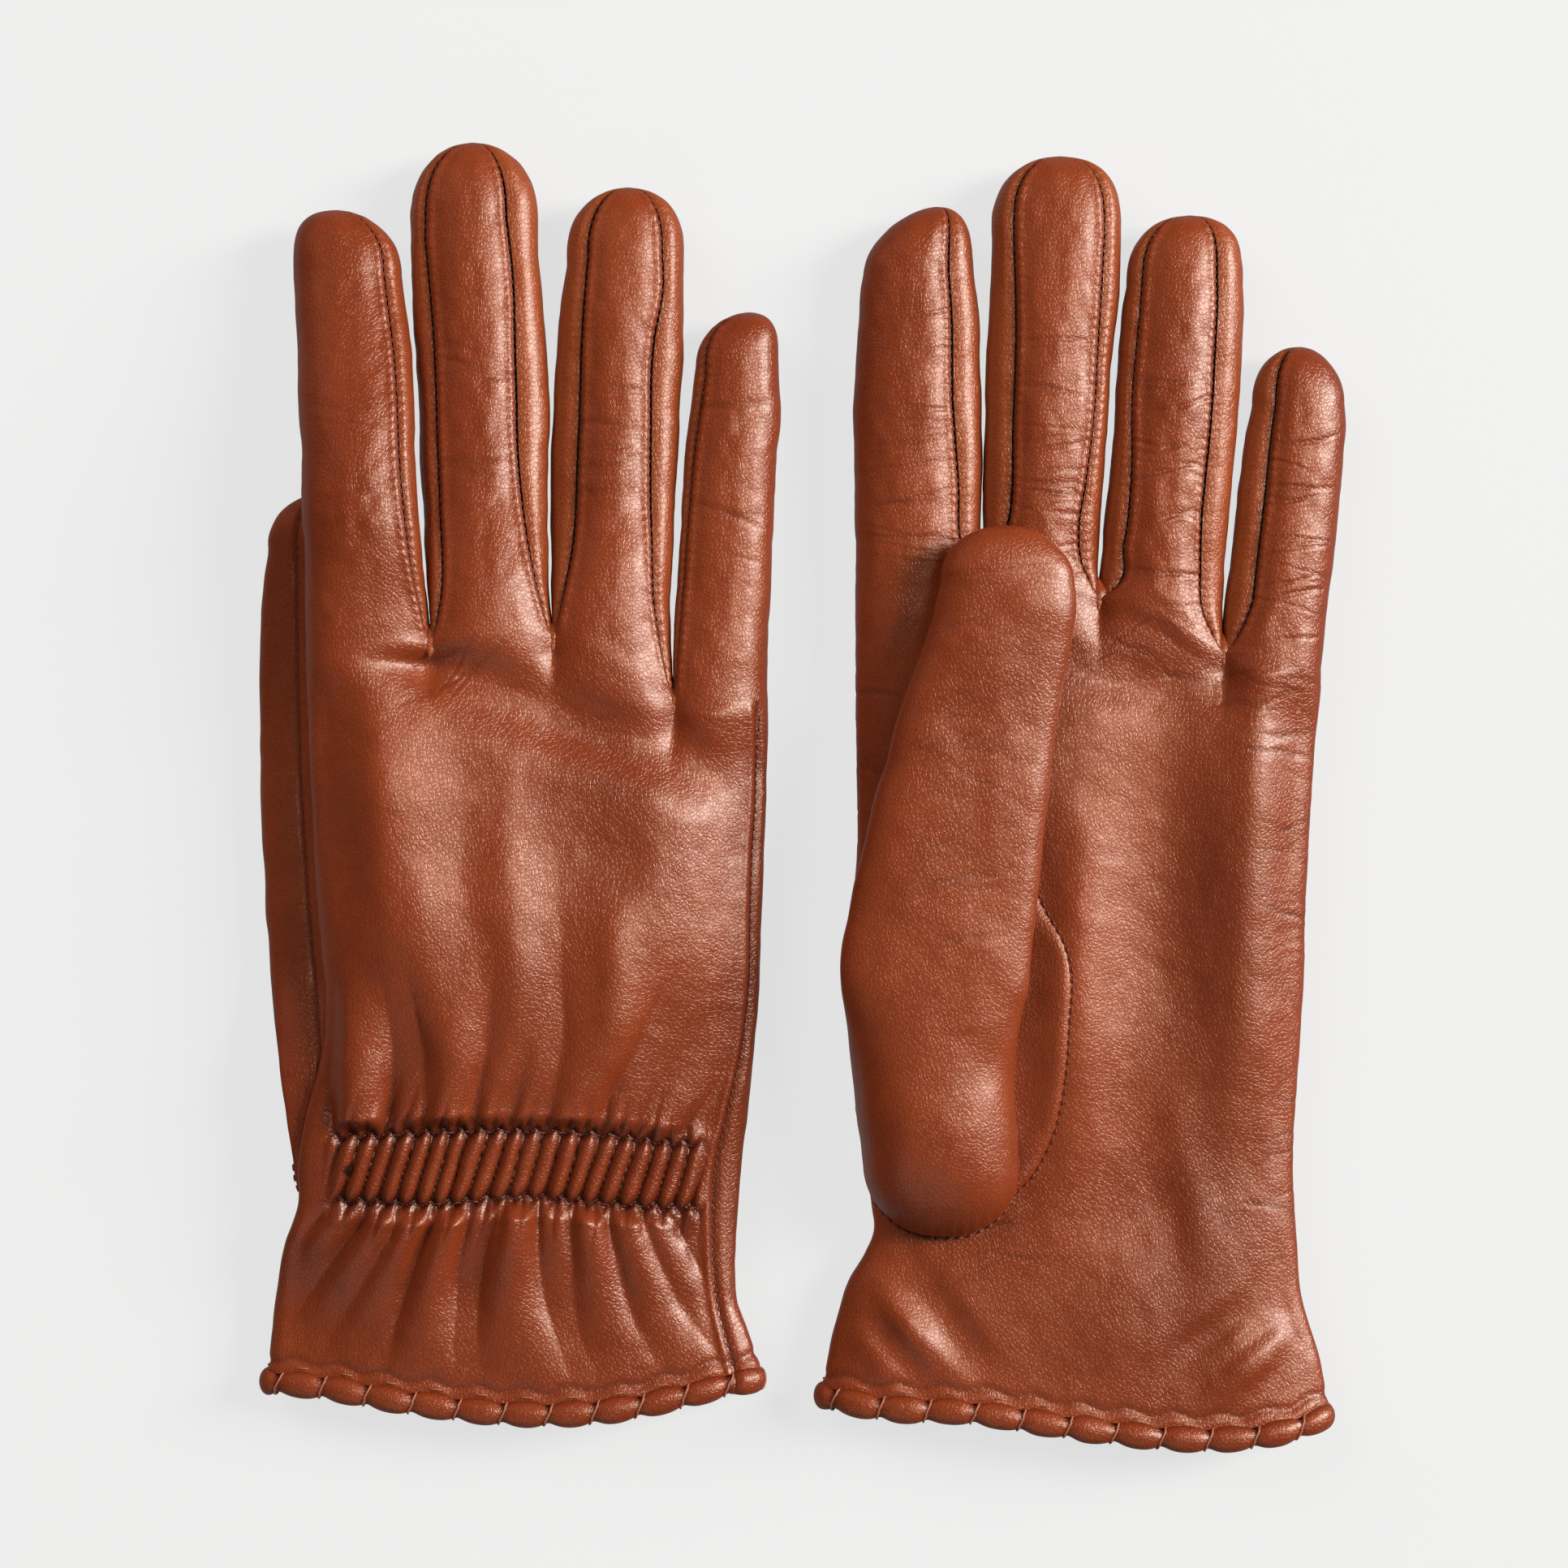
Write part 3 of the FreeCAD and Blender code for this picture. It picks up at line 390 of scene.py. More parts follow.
def fingerSection(g, k, y):     # the closed section of finger k; y has a value for each of its points
    f = g["fingers"][k]
    tip, cap = f["tip"], f["capLength"]
    yBody = np.minimum(y, tip - cap)
    left, right = through(f["left"], yBody), through(f["right"], yBody)
    centre, half = (left + right) / 2, (right - left) / 2
    seamLift = mix(0.70, 0.60, 1 - ease((y - f["from"]) / 15.0))
    thick = f["thick"] * mix(1.0, 0.9, ease((y - tip + 30) / 30))
    middle = through(f["height"], yBody)
    x, z = np.zeros_like(y), np.zeros_like(y)
    across, around = np.linspace(-1, 1, n), np.linspace(-1, 1, s)
    columns = np.arange(len(y))
    roundness = 0.86     # of a side without a strip
    for side, sewn in ((-1, k > 0), (1, k < 3)):
        for sign, row in ((1, columns[topSide]), (-1, columns[underSide][::-1])):
            part = across <= 0 if side < 0 else across > 0
            a, cols = np.abs(across[part]), row[part]
            c, w, m, h = centre[cols], half[cols], middle[cols], thick[cols]
            if sewn:
                x[cols] = c + side * w * seamReach(f, side, yBody[cols], c, w) * a
                z[cols] = m + sign * h * mix(1.0, seamLift[cols], a ** 2.4)
            else:
                angle = math.pi / 2 - a * math.radians(55)
                x[cols] = c + side * w * np.cos(angle) ** roundness
                z[cols] = m + sign * h * np.sin(angle) ** roundness
        cols = columns[leftStrip] if side < 0 else columns[rightStrip][::-1]
        c, w, m, h = centre[cols], half[cols], middle[cols], thick[cols]
        if sewn:
            angle = around * math.pi / 2 * 0.97
            x[cols] = c + side * w * mix(seamReach(f, side, yBody[cols], c, w), 1.0, np.cos(angle) ** 0.8)
            z[cols] = m + h * seamLift[cols] * np.sin(angle)
        else:
            angle = around * math.radians(35)
            x[cols] = c + side * w * np.cos(angle) ** roundness
            z[cols] = m + h * np.sign(angle) * np.abs(np.sin(angle)) ** roundness
    inTip = np.clip(y - tip + cap, 0, cap) / cap
    narrow = np.sqrt(np.clip(1 - inTip ** f.get("blunt", 2.3), 0, 1))
    x = centre + (x - centre) * narrow + f.get("lean", 0) * inTip**2
    z = middle + (z - middle) * np.sqrt(np.clip(1 - inTip ** 3.0, 0, 1))
    low, high = handLimits(g, f["from"])
    share = np.clip((x - low) / (high - low), 0, 1)
    shared = mix(through(g["leftHeight"], 30), through(g["rightHeight"], 30), share)
    z += (shared - middle) * (1 - ease((y - f["from"]) / 24))
    return np.stack([x, y, z], axis=1)


def fingerStart(g, k):     # height along the hand of each point of a finger's first section
    low, high = g["crotches"][k][1], g["crotches"][k + 1][1]
    t = np.linspace(0, 1, n)
    bow = np.sin(np.pi * t)
    if k == 0:
        bow = np.sin(np.pi * (t * 0.5 + 0.5)) * t
    if k == 3:
        bow = np.sin(np.pi * t * 0.5) * (1 - t)
    front = mix(low, high, t) + 2.2 * bow
    return np.concatenate([np.full(s, low), front, np.full(s, high), front[::-1]])


def fingerSkin(g, k):
    f = g["fingers"][k]
    start = fingerStart(g, k)
    f["from"] = float(start.max())
    tip = f["tip"]
    f["capLength"] = float((through(f["right"], tip - 14) - through(f["left"], tip - 14)) * 0.60)
    shoulder = tip - f["capLength"]
    straight = int(fingerRows * 0.80)
    rows = []
    for i in range(fingerRows):
        if i <= straight:
            y = mix(start, shoulder, i / straight)
        else:
            angle = math.pi / 2 * (i - straight) / (fingerRows - 1 - straight)
            y = np.full(len(start), shoulder + f["capLength"] * math.sin(angle))
        rows.append(y)
    rows[-1] = rows[-1] - 0.004
    return np.array([fingerSection(g, k, y) for y in rows])


def handSkin(g, fingers):     # rows from the cuff to the fingers' first sections, and what each column is
    first = [f[0] for f in fingers]
    base = np.vstack([first[0][leftStrip]] + [p[topSide] for p in first]
                     + [first[3][rightStrip]] + [p[underSide] for p in reversed(first)])
    left, right = handLimits(g, base[:, 1])
    share = np.clip((base[:, 0] - left) / (right - left), 0, 1)
    share[leftStrip] = np.minimum(share[leftStrip], 0.03)
    isTop = np.zeros(len(base), bool)
    isTop[handTop] = True
    isTop[s // 2:s] = True
    isTop[handRight][:s // 2] = True
    seamShare = share[seamColumn(g)]
    seamSide = isTop if g["backUp"] else ~isTop
    cuff = through(g["hem"], mix(*handLimits(g, np.full(len(share), -110.0)), share))
    y = mix(cuff, base[:, 1], 1 - np.arange(handRows)[::-1, None] / (handRows - 1))
    left, right = handLimits(g, y)
    wanted = mix(seamShare, (through(g["outerSeam"], y) - left) / (right - left), ease((base[:, 1] - y) / 30))
    bent = np.where(seamSide & (share <= seamShare), share * wanted / seamShare, share)
    bent = np.where(seamSide & (share > seamShare), 1 - (1 - share) * (1 - wanted) / (1 - seamShare), bent)
    z = np.where(isTop, handHeight(g, bent, y, True), handHeight(g, bent, y, False))
    near = ease((y - base[:, 1] + 15.0) / 15.0) ** 1.3
    points = np.stack([mix(mix(left, right, bent), base[:, 0], near), y, mix(z, base[:, 2], near)], axis=2)
    return points, isTop, share


# folds, gathers and creases, as moves along the skin's own normals, and the shade painted into their hollows

def wristFolds(g, points, share):     # the gathered back at the wrist
    x, y = points[..., 0], points[..., 1]
    seed = g["seed"]
    first, last, pitch, slant = g["gather"]
    up, low = through(g["upperRow"], x), through(g["lowerRow"], x)
    inside = ease((x - first + 2) / 4) * ease((last + 2 - x) / 4)
    sway = 0.4 * cloud(x, y, 9, seed) + 0.12 * cloud(x, y, 3.5, seed + 1)
    phase = (x - slant * (y - (up + low) / 2) - first + sway) / pitch
    lean = slant * (up - low) / 2

    def ridge(p, sharp):
        return np.clip(1 - (np.abs((p % 1) - 0.5) * 2) ** 2.2, 0, 1) ** sharp

    bulge = 1.5 * (0.5 - np.abs((phase % 1) - 0.5) * 2)
    upEdge, lowEdge = up + bulge, low - bulge
    between = np.minimum(upEdge - y, y - lowEdge)
    band = (between > 0) * inside
    plump = 1 - fading(between / 0.9)
    size = 1 + 0.18 * cloud(np.floor(phase) * 9.1, y * 0, 5, seed + 2)
    sink = 1.2     # of the elastic's two rows below the skin round them
    lift = band * (2.1 * size * ridge(phase, 0.5) * plump - sink)
    # painted shade in the hollows between the plump tubes
    shade = band * (1 - ridge(phase, 0.35) * plump)
    for sign, row, edge, folds in ((1, up, upEdge, g["foldsUp"]), (-1, low, lowEdge, g["foldsDown"])):
        # small gathers that die out close to the thread
        away = (y - edge) * sign
        part = (away >= 0) * 1.0
        atRow = mix(*handLimits(g, row), share)
        small = (atRow - sign * lean - first) / pitch + 0.5 + 0.15 * cloud(atRow, y, 6, seed + 3)
        reach = np.maximum(3.2 + 2.6 * (cloud(np.floor(small) * 7.7, y * 0, 3, seed + 4 + sign) + 0.6), 2.0)
        fine = ridge(small, 0.6) * fading(away / reach) * (1 - ease(away / (2.4 * reach)))
        start = 1 - fading(away / 0.8)
        lift += part * inside * (1.9 * fine * start - sink * fading(away / 4.0))
        # painted shade along the sunk row and between the small gathers
        shade += 0.6 * part * inside * fading(away / 2.0) * (1 - ridge(small, 0.35) * start)
        # long folds that run on into the hand and the cuff, the higher one winning where two meet
        far = np.clip((y - row) * sign, 0, None)
        ridges = np.zeros_like(x)
        for at, wide, high, reach in folds:
            fan = (at - (first + last) / 2) * (0.017 if sign < 0 else 0.011) * far
            wander = at + fan + 0.8 * cloud(y, y * 0 + at, 14, seed + 9)
            shape = np.clip(1 - ((atRow - wander) / (1.6 * wide * (1 + far / 40))) ** 2, 0, 1)
            ridges += (2.15 * high * shape * ease((far - 0.6) / 3.4) * (1 - ease(far / (reach * 1.25)))) ** 3
        ridges = np.cbrt(ridges)
        # painted shade in the valleys between the long folds, fading away from the row
        shade += 0.34 * part * inside * fading(far / 15) * np.clip(1 - ridges / 1.9, 0, 1)
        hollow = 0.8 * (1 - ease(far / 34)) * ease(far / 5)
        lift += part * (ridges - hollow) * ease((share - 0.02) / 0.05) * ease((0.98 - share) / 0.05)
    return lift, np.clip(shade, 0, 1)


def swellsOf(x, y, swells):
    lift = np.zeros_like(x)
    for atX, atY, wide, long, turn, high in swells:
        c, d = math.cos(math.radians(turn)), math.sin(math.radians(turn))
        u = ((x - atX) * c + (y - atY) * d) / wide
        v = (-(x - atX) * d + (y - atY) * c) / long
        lift += high * np.exp(-u**2 - np.abs(v) ** 2.5)
    return lift


def broadLift(x, y, share, swells, seed):     # the slow unevenness of a hand's skin
    inward = np.minimum(share, 1 - share)
    lift = (0.8 * cloud(x, y, 24, seed) + 0.25 * cloud(x, y, 11, seed + 1)) * ease(inward / 0.05)
    return lift + swellsOf(x, y, swells) * ease(inward / 0.17) + 0.08 * cloud(x * 1.3, y, 5.0, seed + 2)


def handDetail(g, points, share, isBack):
    x, y = points[..., 0], points[..., 1]
    seed = g["seed"] + (50 if isBack else 0)
    lift = broadLift(x, y, share, g["swells" if isBack else "palmSwells"], seed)
    lift += 0.04 * cloud(x, y, 2.1, seed + 3)
    # darker patches on the back; on the palm, painted shade
    shade = swellsOf(x, y, g.get("backDarkPatches" if isBack else "palmPaintedShade", []))
    if isBack:
        folds, dark = wristFolds(g, points, share)
        lift = lift * ease((np.abs(y + 68.5) - 4) / 14) + folds
        shade += dark
        if "spot" in g:
            atX, atY, size = g["spot"]
            shade += 1.2 * np.exp(-(np.hypot(x - atX, y - atY) / size) ** 4)
    for atX, atY, wide, long, count, deep, tilt in g["wrinkles" if isBack else "palmWrinkles"]:
        folds, dark = creases(x, y, atY, long, count, deep, (0.3, 0.7), (3, 8), seed + 90 + int(atY),
                              tilt, atX, wide)
        lift += folds
        shade += dark
    # the lip where the hem is turned, pulled into waves by its lacing
    pulled = y - points[:1, :, 1] - 0.5 * np.cos(x * 2 * np.pi / hem["pitch"])
    lift += 0.16 * bell((pulled - 0.8) / 0.8) - 0.28 * bell((pulled - 2.6) / 0.8)
    # painted shade in the groove above the lip
    shade += 0.25 * bell((pulled - 2.6) / 0.5)
    # creases that run out from each fork into the hand
    for k in (1, 2, 3):
        cx, cy = g["crotches"][k]
        away = cy - y
        across = (x - cx - 0.10 * away * (k - 2)) / (1.2 + np.clip(away, 0, None) * 0.22)
        lift -= 0.7 * bell(across) * fading(away / 4.0) * (away > -2)
    return lift * ease((points[-1:, :, 1] - y) / 4), shade


def moved(points, normals, lift):
    return points + normals * lift[..., None]


def keepOffTable(points):     # flattens what would sink into the table
    z = points[..., 2]
    points[..., 2] = np.where(z < 0.6, 0.3 + 0.3 * np.exp(np.clip((z - 0.6) / 0.6, -8, 0)), z)
    return points


def creases(x, y, middle, spread, count, deep, wide, reach, seed, tilt=0.16, along=None, sway=5.0):
    # fine folds across a finger, or in a field of the hand; wide and reach are ranges
    rng = np.random.default_rng(seed)
    along = x.mean() if along is None else along
    lift, shade = np.zeros_like(x), np.zeros_like(x)
    for _ in range(count):
        at = middle + rng.normal(0, spread)
        lean = rng.normal(0, tilt)
        width = rng.uniform(*wide)
        centre = along + rng.uniform(-sway, sway)
        half = rng.uniform(*reach)
        line = at + lean * (x - centre) + 0.7 * cloud(x, x * 0 + at, 5, seed + 6)
        away = (y - line) / width
        fade = np.exp(-((x - centre) / half) ** 4) * rng.uniform(0.5, 1.2)
        lift += (0.2 * bell((np.abs(away) - 2.0) / 0.9) - bell(away)) * fade * deep
        # painted shade along the crease's hollow
        shade += 0.17 * bell(away) * fade
    return lift, shade


def seamColumns(k):     # beside each seam of a finger's section: a column of the leather and one of the strip
    pairs = [(s, s - 1), (2 * s + 2 * n - 1, 0)] if k > 0 else []
    return pairs + ([(s + n - 1, s + n), (2 * s + n, 2 * s + n - 1)] if k < 3 else [])


def fingerDetail(g, k, points):
    x, y = points[..., 0], points[..., 1]
    seed = g["seed"] * 7 + k
    lift = 0.26 * cloud(x, y, 9, seed) + 0.10 * cloud(x * 1.6, y, 3.6, seed + 1)
    lift += 0.035 * cloud(x, y, 1.7, seed + 2)
    shade = np.zeros_like(x)
    bend = jointPlace(g["name"] + "_" + g["fingers"][k]["name"] + "_bend")
    palm, back = (underSide, topSide) if g["backUp"] else (topSide, underSide)
    # many fine bending creases across the palm side, a few soft ones across the back
    for part, spread, count, deep, wide in ((palm, 16, 15, 0.13, (0.28, 0.45)),
                                            (back, 12, 5, 0.10, (0.5, 0.9))):
        folds, dark = creases(x, y, bend[1], spread, count, deep, wide, (4, 10), seed + 5 + count)
        lift[:, part] += folds[:, part]
        shade[:, part] += dark[:, part]
    # furrows where the strips are sewn on, with the small puckers of the stitches
    puckers = 0.045 * np.sin(y * 2 * np.pi / 1.7 + 1.3 * cloud(y, x * 0, 5, seed + 8))
    for pair in seamColumns(k):
        for column in pair:
            away = np.linalg.norm(points - points[:, column][:, None], axis=2)
            away = np.where(away < 5, away, 99)
            lift += (-0.34 * bell(away / 0.55) + 0.07 * bell((away - 1.5) / 0.7)) * 0.5
            lift += puckers * bell((away - 0.8) / 0.8) * (away > 0.15)
            shade += 0.17 * bell(away / 0.30)
            if column == pair[0]:
                for part in (palm, back):
                    lift[:, part] += 0.34 * bell((away[:, part] - 0.75) / 0.75)
    return lift * ease((y - points[:1, :, 1]) / 4), np.clip(shade, 0, 1)


# materials

def nodeGroup(name, inputs, outputs):
    group = bpy.data.node_groups.new(name, "ShaderNodeTree")
    for key, kind, value in inputs:
        socket = group.interface.new_socket(key, in_out="INPUT", socket_type="NodeSocket" + kind)
        if value is not None:
            socket.default_value = value
    for key, kind in outputs:
        group.interface.new_socket(key, in_out="OUTPUT", socket_type="NodeSocket" + kind)
    return group, group.nodes.new("NodeGroupInput").outputs, group.nodes.new("NodeGroupOutput")


def feed(tree, node, **inputs):     # sets or links inputs by name, or by number after an i
    for key, value in inputs.items():
        numbered = key[0] == "i" and key[1:].isdigit()
        socket = node.inputs[int(key[1:]) if numbered else key.replace("_", " ")]
        if hasattr(value, "is_output"):
            tree.links.new(value, socket)
        else:
            socket.default_value = value
    return node


def add(tree, kind, settings=None, **inputs):
    node = tree.nodes.new("ShaderNode" + kind)
    for key, value in (settings or {}).items():
        setattr(node, key, value)
    return feed(tree, node, **inputs)


def calc(tree, kind, *values):
    inputs = {f"i{k}": value for k, value in enumerate(values)}
    return add(tree, "Math", {"operation": kind}, **inputs).outputs[0]


def noise(tree, place, scale, detail, **inputs):
    return add(tree, "TexNoise", Vector=place, Scale=scale, Detail=detail, **inputs).outputs


def scaled(tree, level, ends, values, kind="LINEAR"):
    return add(tree, "MapRange", {"interpolation_type": kind}, i0=level, i1=ends[0], i2=ends[1],
               i3=values[0], i4=values[1]).outputs[0]


def mixed(tree, share, first, second):
    return add(tree, "Mix", {"data_type": "RGBA"}, i0=share, i6=first, i7=second).outputs[2]


def makeGrainGroup():     # pebbled leather grain: small cells between fine furrows, and a few long creases
    group, given, out = nodeGroup(
        "pebbled grain", [("Vector", "Vector", None), ("Cells per metre", "Float", 1700.0),
                          ("Creases", "Float", 0.3)],
        [("Height", "Float"), ("Furrow", "Float")])
    warp = noise(group, given["Vector"], 420.0, 2.0)["Color"]
    shift = add(group, "VectorMath", {"operation": "SCALE"}, i0=warp, Scale=0.0009).outputs[0]
    place = add(group, "VectorMath", {"operation": "ADD"}, i0=given["Vector"], i1=shift).outputs[0]
    cells = add(group, "TexVoronoi", {"feature": "DISTANCE_TO_EDGE"}, Vector=place,
                Scale=given["Cells per metre"])
    furrow = scaled(group, cells.outputs["Distance"], (0.0, 0.22), (0.0, 1.0), "SMOOTHSTEP")
    fine = noise(group, given["Vector"], 2600.0, 3.0, Roughness=0.6)["Fac"]
    long = noise(group, place, 330.0, 4.0, Roughness=0.65)["Fac"]
    ridges = calc(group, "ABSOLUTE", calc(group, "SUBTRACT", long, 0.5))
    crease = scaled(group, ridges, (0.0, 0.05), (1.0, 0.0), "SMOOTHSTEP")
    body = calc(group, "MULTIPLY_ADD", furrow, 0.7, calc(group, "MULTIPLY", fine, 0.25))
    cut = calc(group, "MULTIPLY", crease, given["Creases"])
    feed(group, out, Height=calc(group, "SUBTRACT", body, cut), Furrow=furrow)
    return group


def makeToneGroup():     # uneven dye in broad clouds and small mottles, mixed towards the deep colour by Shade: painted shade of folds, gathers and creases, and dark seams
    group, given, out = nodeGroup(
        "dye with painted shade", [("Vector", "Vector", None), ("Pale", "Color", (0.5, 0.15, 0.06, 1)),
                       ("Middle", "Color", (0.4, 0.1, 0.04, 1)), ("Deep", "Color", (0.2, 0.04, 0.015, 1)),
                       ("Shade", "Float", 0.0)],
        [("Color", "Color"), ("Cloud", "Float")])
    broad = noise(group, given["Vector"], 26.0, 3.0, Roughness=0.5)["Fac"]
    small = noise(group, given["Vector"], 240.0, 4.0, Roughness=0.6)["Fac"]
    sway = calc(group, "MULTIPLY_ADD", small, 0.3, calc(group, "MULTIPLY", broad, 0.9))
    level = scaled(group, sway, (0.34, 0.86), (0.0, 1.0))
    dye = mixed(group, level, given["Middle"], given["Pale"])
    feed(group, out, Color=mixed(group, given["Shade"], dye, given["Deep"]), Cloud=level)
    return group


grainGroup = makeGrainGroup()
toneGroup = makeToneGroup()


def newMaterial(name):
    material = bpy.data.materials.new(name)
    material.use_nodes = True
    tree = material.node_tree
    return material, tree, tree.nodes["Principled BSDF"], add(tree, "TexCoord").outputs["Object"]


def leatherMaterial(name, look):
    material, tree, shader, place = newMaterial(name)
    shade = add(tree, "Attribute", {"attribute_name": "shade"}).outputs["Fac"]
    grain = add(tree, "Group", {"node_tree": grainGroup}, Vector=place, Cells_per_metre=look["cells"],
                Creases=look["creases"]).outputs
    furrow = calc(tree, "MULTIPLY", calc(tree, "SUBTRACT", 1.0, grain["Furrow"]), look["furrow"])
    tone = add(tree, "Group", {"node_tree": toneGroup}, Vector=place, Pale=look["pale"],
               Middle=look["middle"], Deep=look["deep"], Shade=calc(tree, "ADD", shade, furrow)).outputs
    bump = add(tree, "Bump", Strength=look["bump"], Distance=0.00012, Height=grain["Height"]).outputs[0]
    rough = scaled(tree, tone["Cloud"], (0.0, 1.0), (look["rough"] - 0.04, look["rough"] + 0.05))
    feed(tree, shader, Base_Color=tone["Color"], Roughness=rough, Normal=bump, Specular_IOR_Level=0.52,
         Coat_Weight=0.16, Coat_Roughness=0.24, Specular_Tint=(1.0, 0.78, 0.64, 1))
    return material


outerLeather = leatherMaterial("tan glove leather", {
    "pale": (0.222, 0.037, 0.0080, 1), "middle": (0.150, 0.0205, 0.0042, 1),
    "deep": (0.026, 0.0022, 0.001, 1),
    "cells": 1250.0, "creases": 0.16, "rough": 0.355, "bump": 0.5, "furrow": 0.15})
stripLeather = leatherMaterial("side strip leather", {
    "pale": (0.265, 0.052, 0.0115, 1), "middle": (0.185, 0.031, 0.0068, 1), "deep": (0.03, 0.003, 0.0012, 1),
    "cells": 1150.0, "creases": 0.2, "rough": 0.36, "bump": 0.55, "furrow": 0.18})


def darker(color, share):
    return tuple(c * share for c in color[:3]) + (1,)


def threadMaterial(name, color, rough):
    material, tree, shader, place = newMaterial(name)
    fibre = noise(tree, place, 3500.0, 2.0)["Fac"]
    bump = add(tree, "Bump", Strength=0.5, Distance=0.00008, Height=fibre).outputs[0]
    tone = mixed(tree, fibre, darker(color, 0.55), color)
    feed(tree, shader, Base_Color=tone, Normal=bump, Roughness=rough)
    return material


def knitMaterial(name, color, pitch):
    material, tree, shader, place = newMaterial(name)
    wales, courses = [add(tree, "TexWave", {"wave_type": "BANDS", "bands_direction": way}, Vector=place,
                          Scale=scale, Distortion=0.6).outputs["Fac"]
                      for way, scale in (("X", pitch), ("Y", pitch * 0.8))]
    loops = calc(tree, "MULTIPLY", wales, courses)
    height = calc(tree, "ADD", loops, noise(tree, place, 1800.0, 4.0)["Fac"])
    bump = add(tree, "Bump", Strength=0.6, Distance=0.0003, Height=height).outputs[0]
    tone = mixed(tree, loops, darker(color, 0.6), color)
    feed(tree, shader, Base_Color=tone, Normal=bump, Roughness=0.9, Sheen_Weight=0.3)
    return material


seamThread = threadMaterial("seam thread", (0.17, 0.028, 0.011, 1), 0.55)
laceThread = threadMaterial("lacing thread", (0.36, 0.105, 0.048, 1), 0.5)
liningKnit = knitMaterial("brushed lining", (0.30, 0.17, 0.10, 1), 300.0)
elasticWeave = knitMaterial("elastic weave", (0.62, 0.50, 0.40, 1), 400.0)


# the gloves

forkRows = 14     # rows of a finger's side strip that belong to the fork
hem = {"pitch": 8.6, "high": 2.45, "thick": 1.7, "drop": 1.8, "pinch": 0.27}


def nameAs(nodes):
    if nodes:
        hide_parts(*nodes)


def rideAs(piece, body, slot, *nodes):
    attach(piece, body)
    nameAs(nodes)


def blendAs(piece, hand, body, pivot, before, after, slot, *nodes):     # bakes its placement into the mesh and hides the parts it stands for
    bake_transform(piece)
    nameAs(nodes)


def thicken(piece, thickness, offset=-1.0):
    bpy.ops.object.select_all(action="DESELECT")
    piece.select_set(True)
    bpy.context.view_layer.objects.active = piece
    wall = piece.modifiers.new("wall", "SOLIDIFY")
    wall.thickness = thickness / 1000
    wall.offset = offset
    bpy.ops.object.modifier_apply(modifier=wall.name)


def partOf(skin, name, columns, material):     # the part of a skin between some of its columns
    points, normals, shade = skin
    return gridPiece(name, points[:, columns], material, shade=shade[:, columns], normals=normals[:, columns])


def calmTip(points):     # nothing moves where a skin closes
    return 1 - ease((np.linspace(0, 1, len(points))[:, None] - 0.90) / 0.10)


def closedEnd(rows):     # a lining's rows, drawn together at its tip
    return np.concatenate([rows, rows[-1:].mean(axis=1, keepdims=True).repeat(rows.shape[1], 1)])


def lifted(points, normals, lift, shade):
    points = keepOffTable(moved(points, normals, lift))
    return points, gridNormals(points), np.clip(shade, 0, 1)


def fingerPieceSkin(g, k, plain):
    lift, shade = fingerDetail(g, k, plain)
    return lifted(plain, gridNormals(plain), lift * calmTip(plain), shade)


def buildHand(g, plain):
    points, isTop, share = handSkin(g, plain)
    normals = gridNormals(points)
    normals[-1] = normals[-2]
    backSide = isTop if g["backUp"] else ~isTop
    lift, shade = handDetail(g, points, share, True)
    palmLift, palmShade = handDetail(g, points, share, False)
    x, y = points[..., 0], points[..., 1]
    away = np.abs(x - through(g["outerSeam"], y))
    groove = 0.55 * (0.35 * bell((away - 1.32) / 0.6) - bell(away / 0.6)) * ease((points[-1:, :, 1] - y) / 3)
    lift = np.where(backSide, lift + groove, palmLift)
    shade = np.where(backSide, shade + 0.5 * bell(away / 0.45), palmShade)
    g["plainSkin"] = points
    return lifted(points, normals, lift, shade)


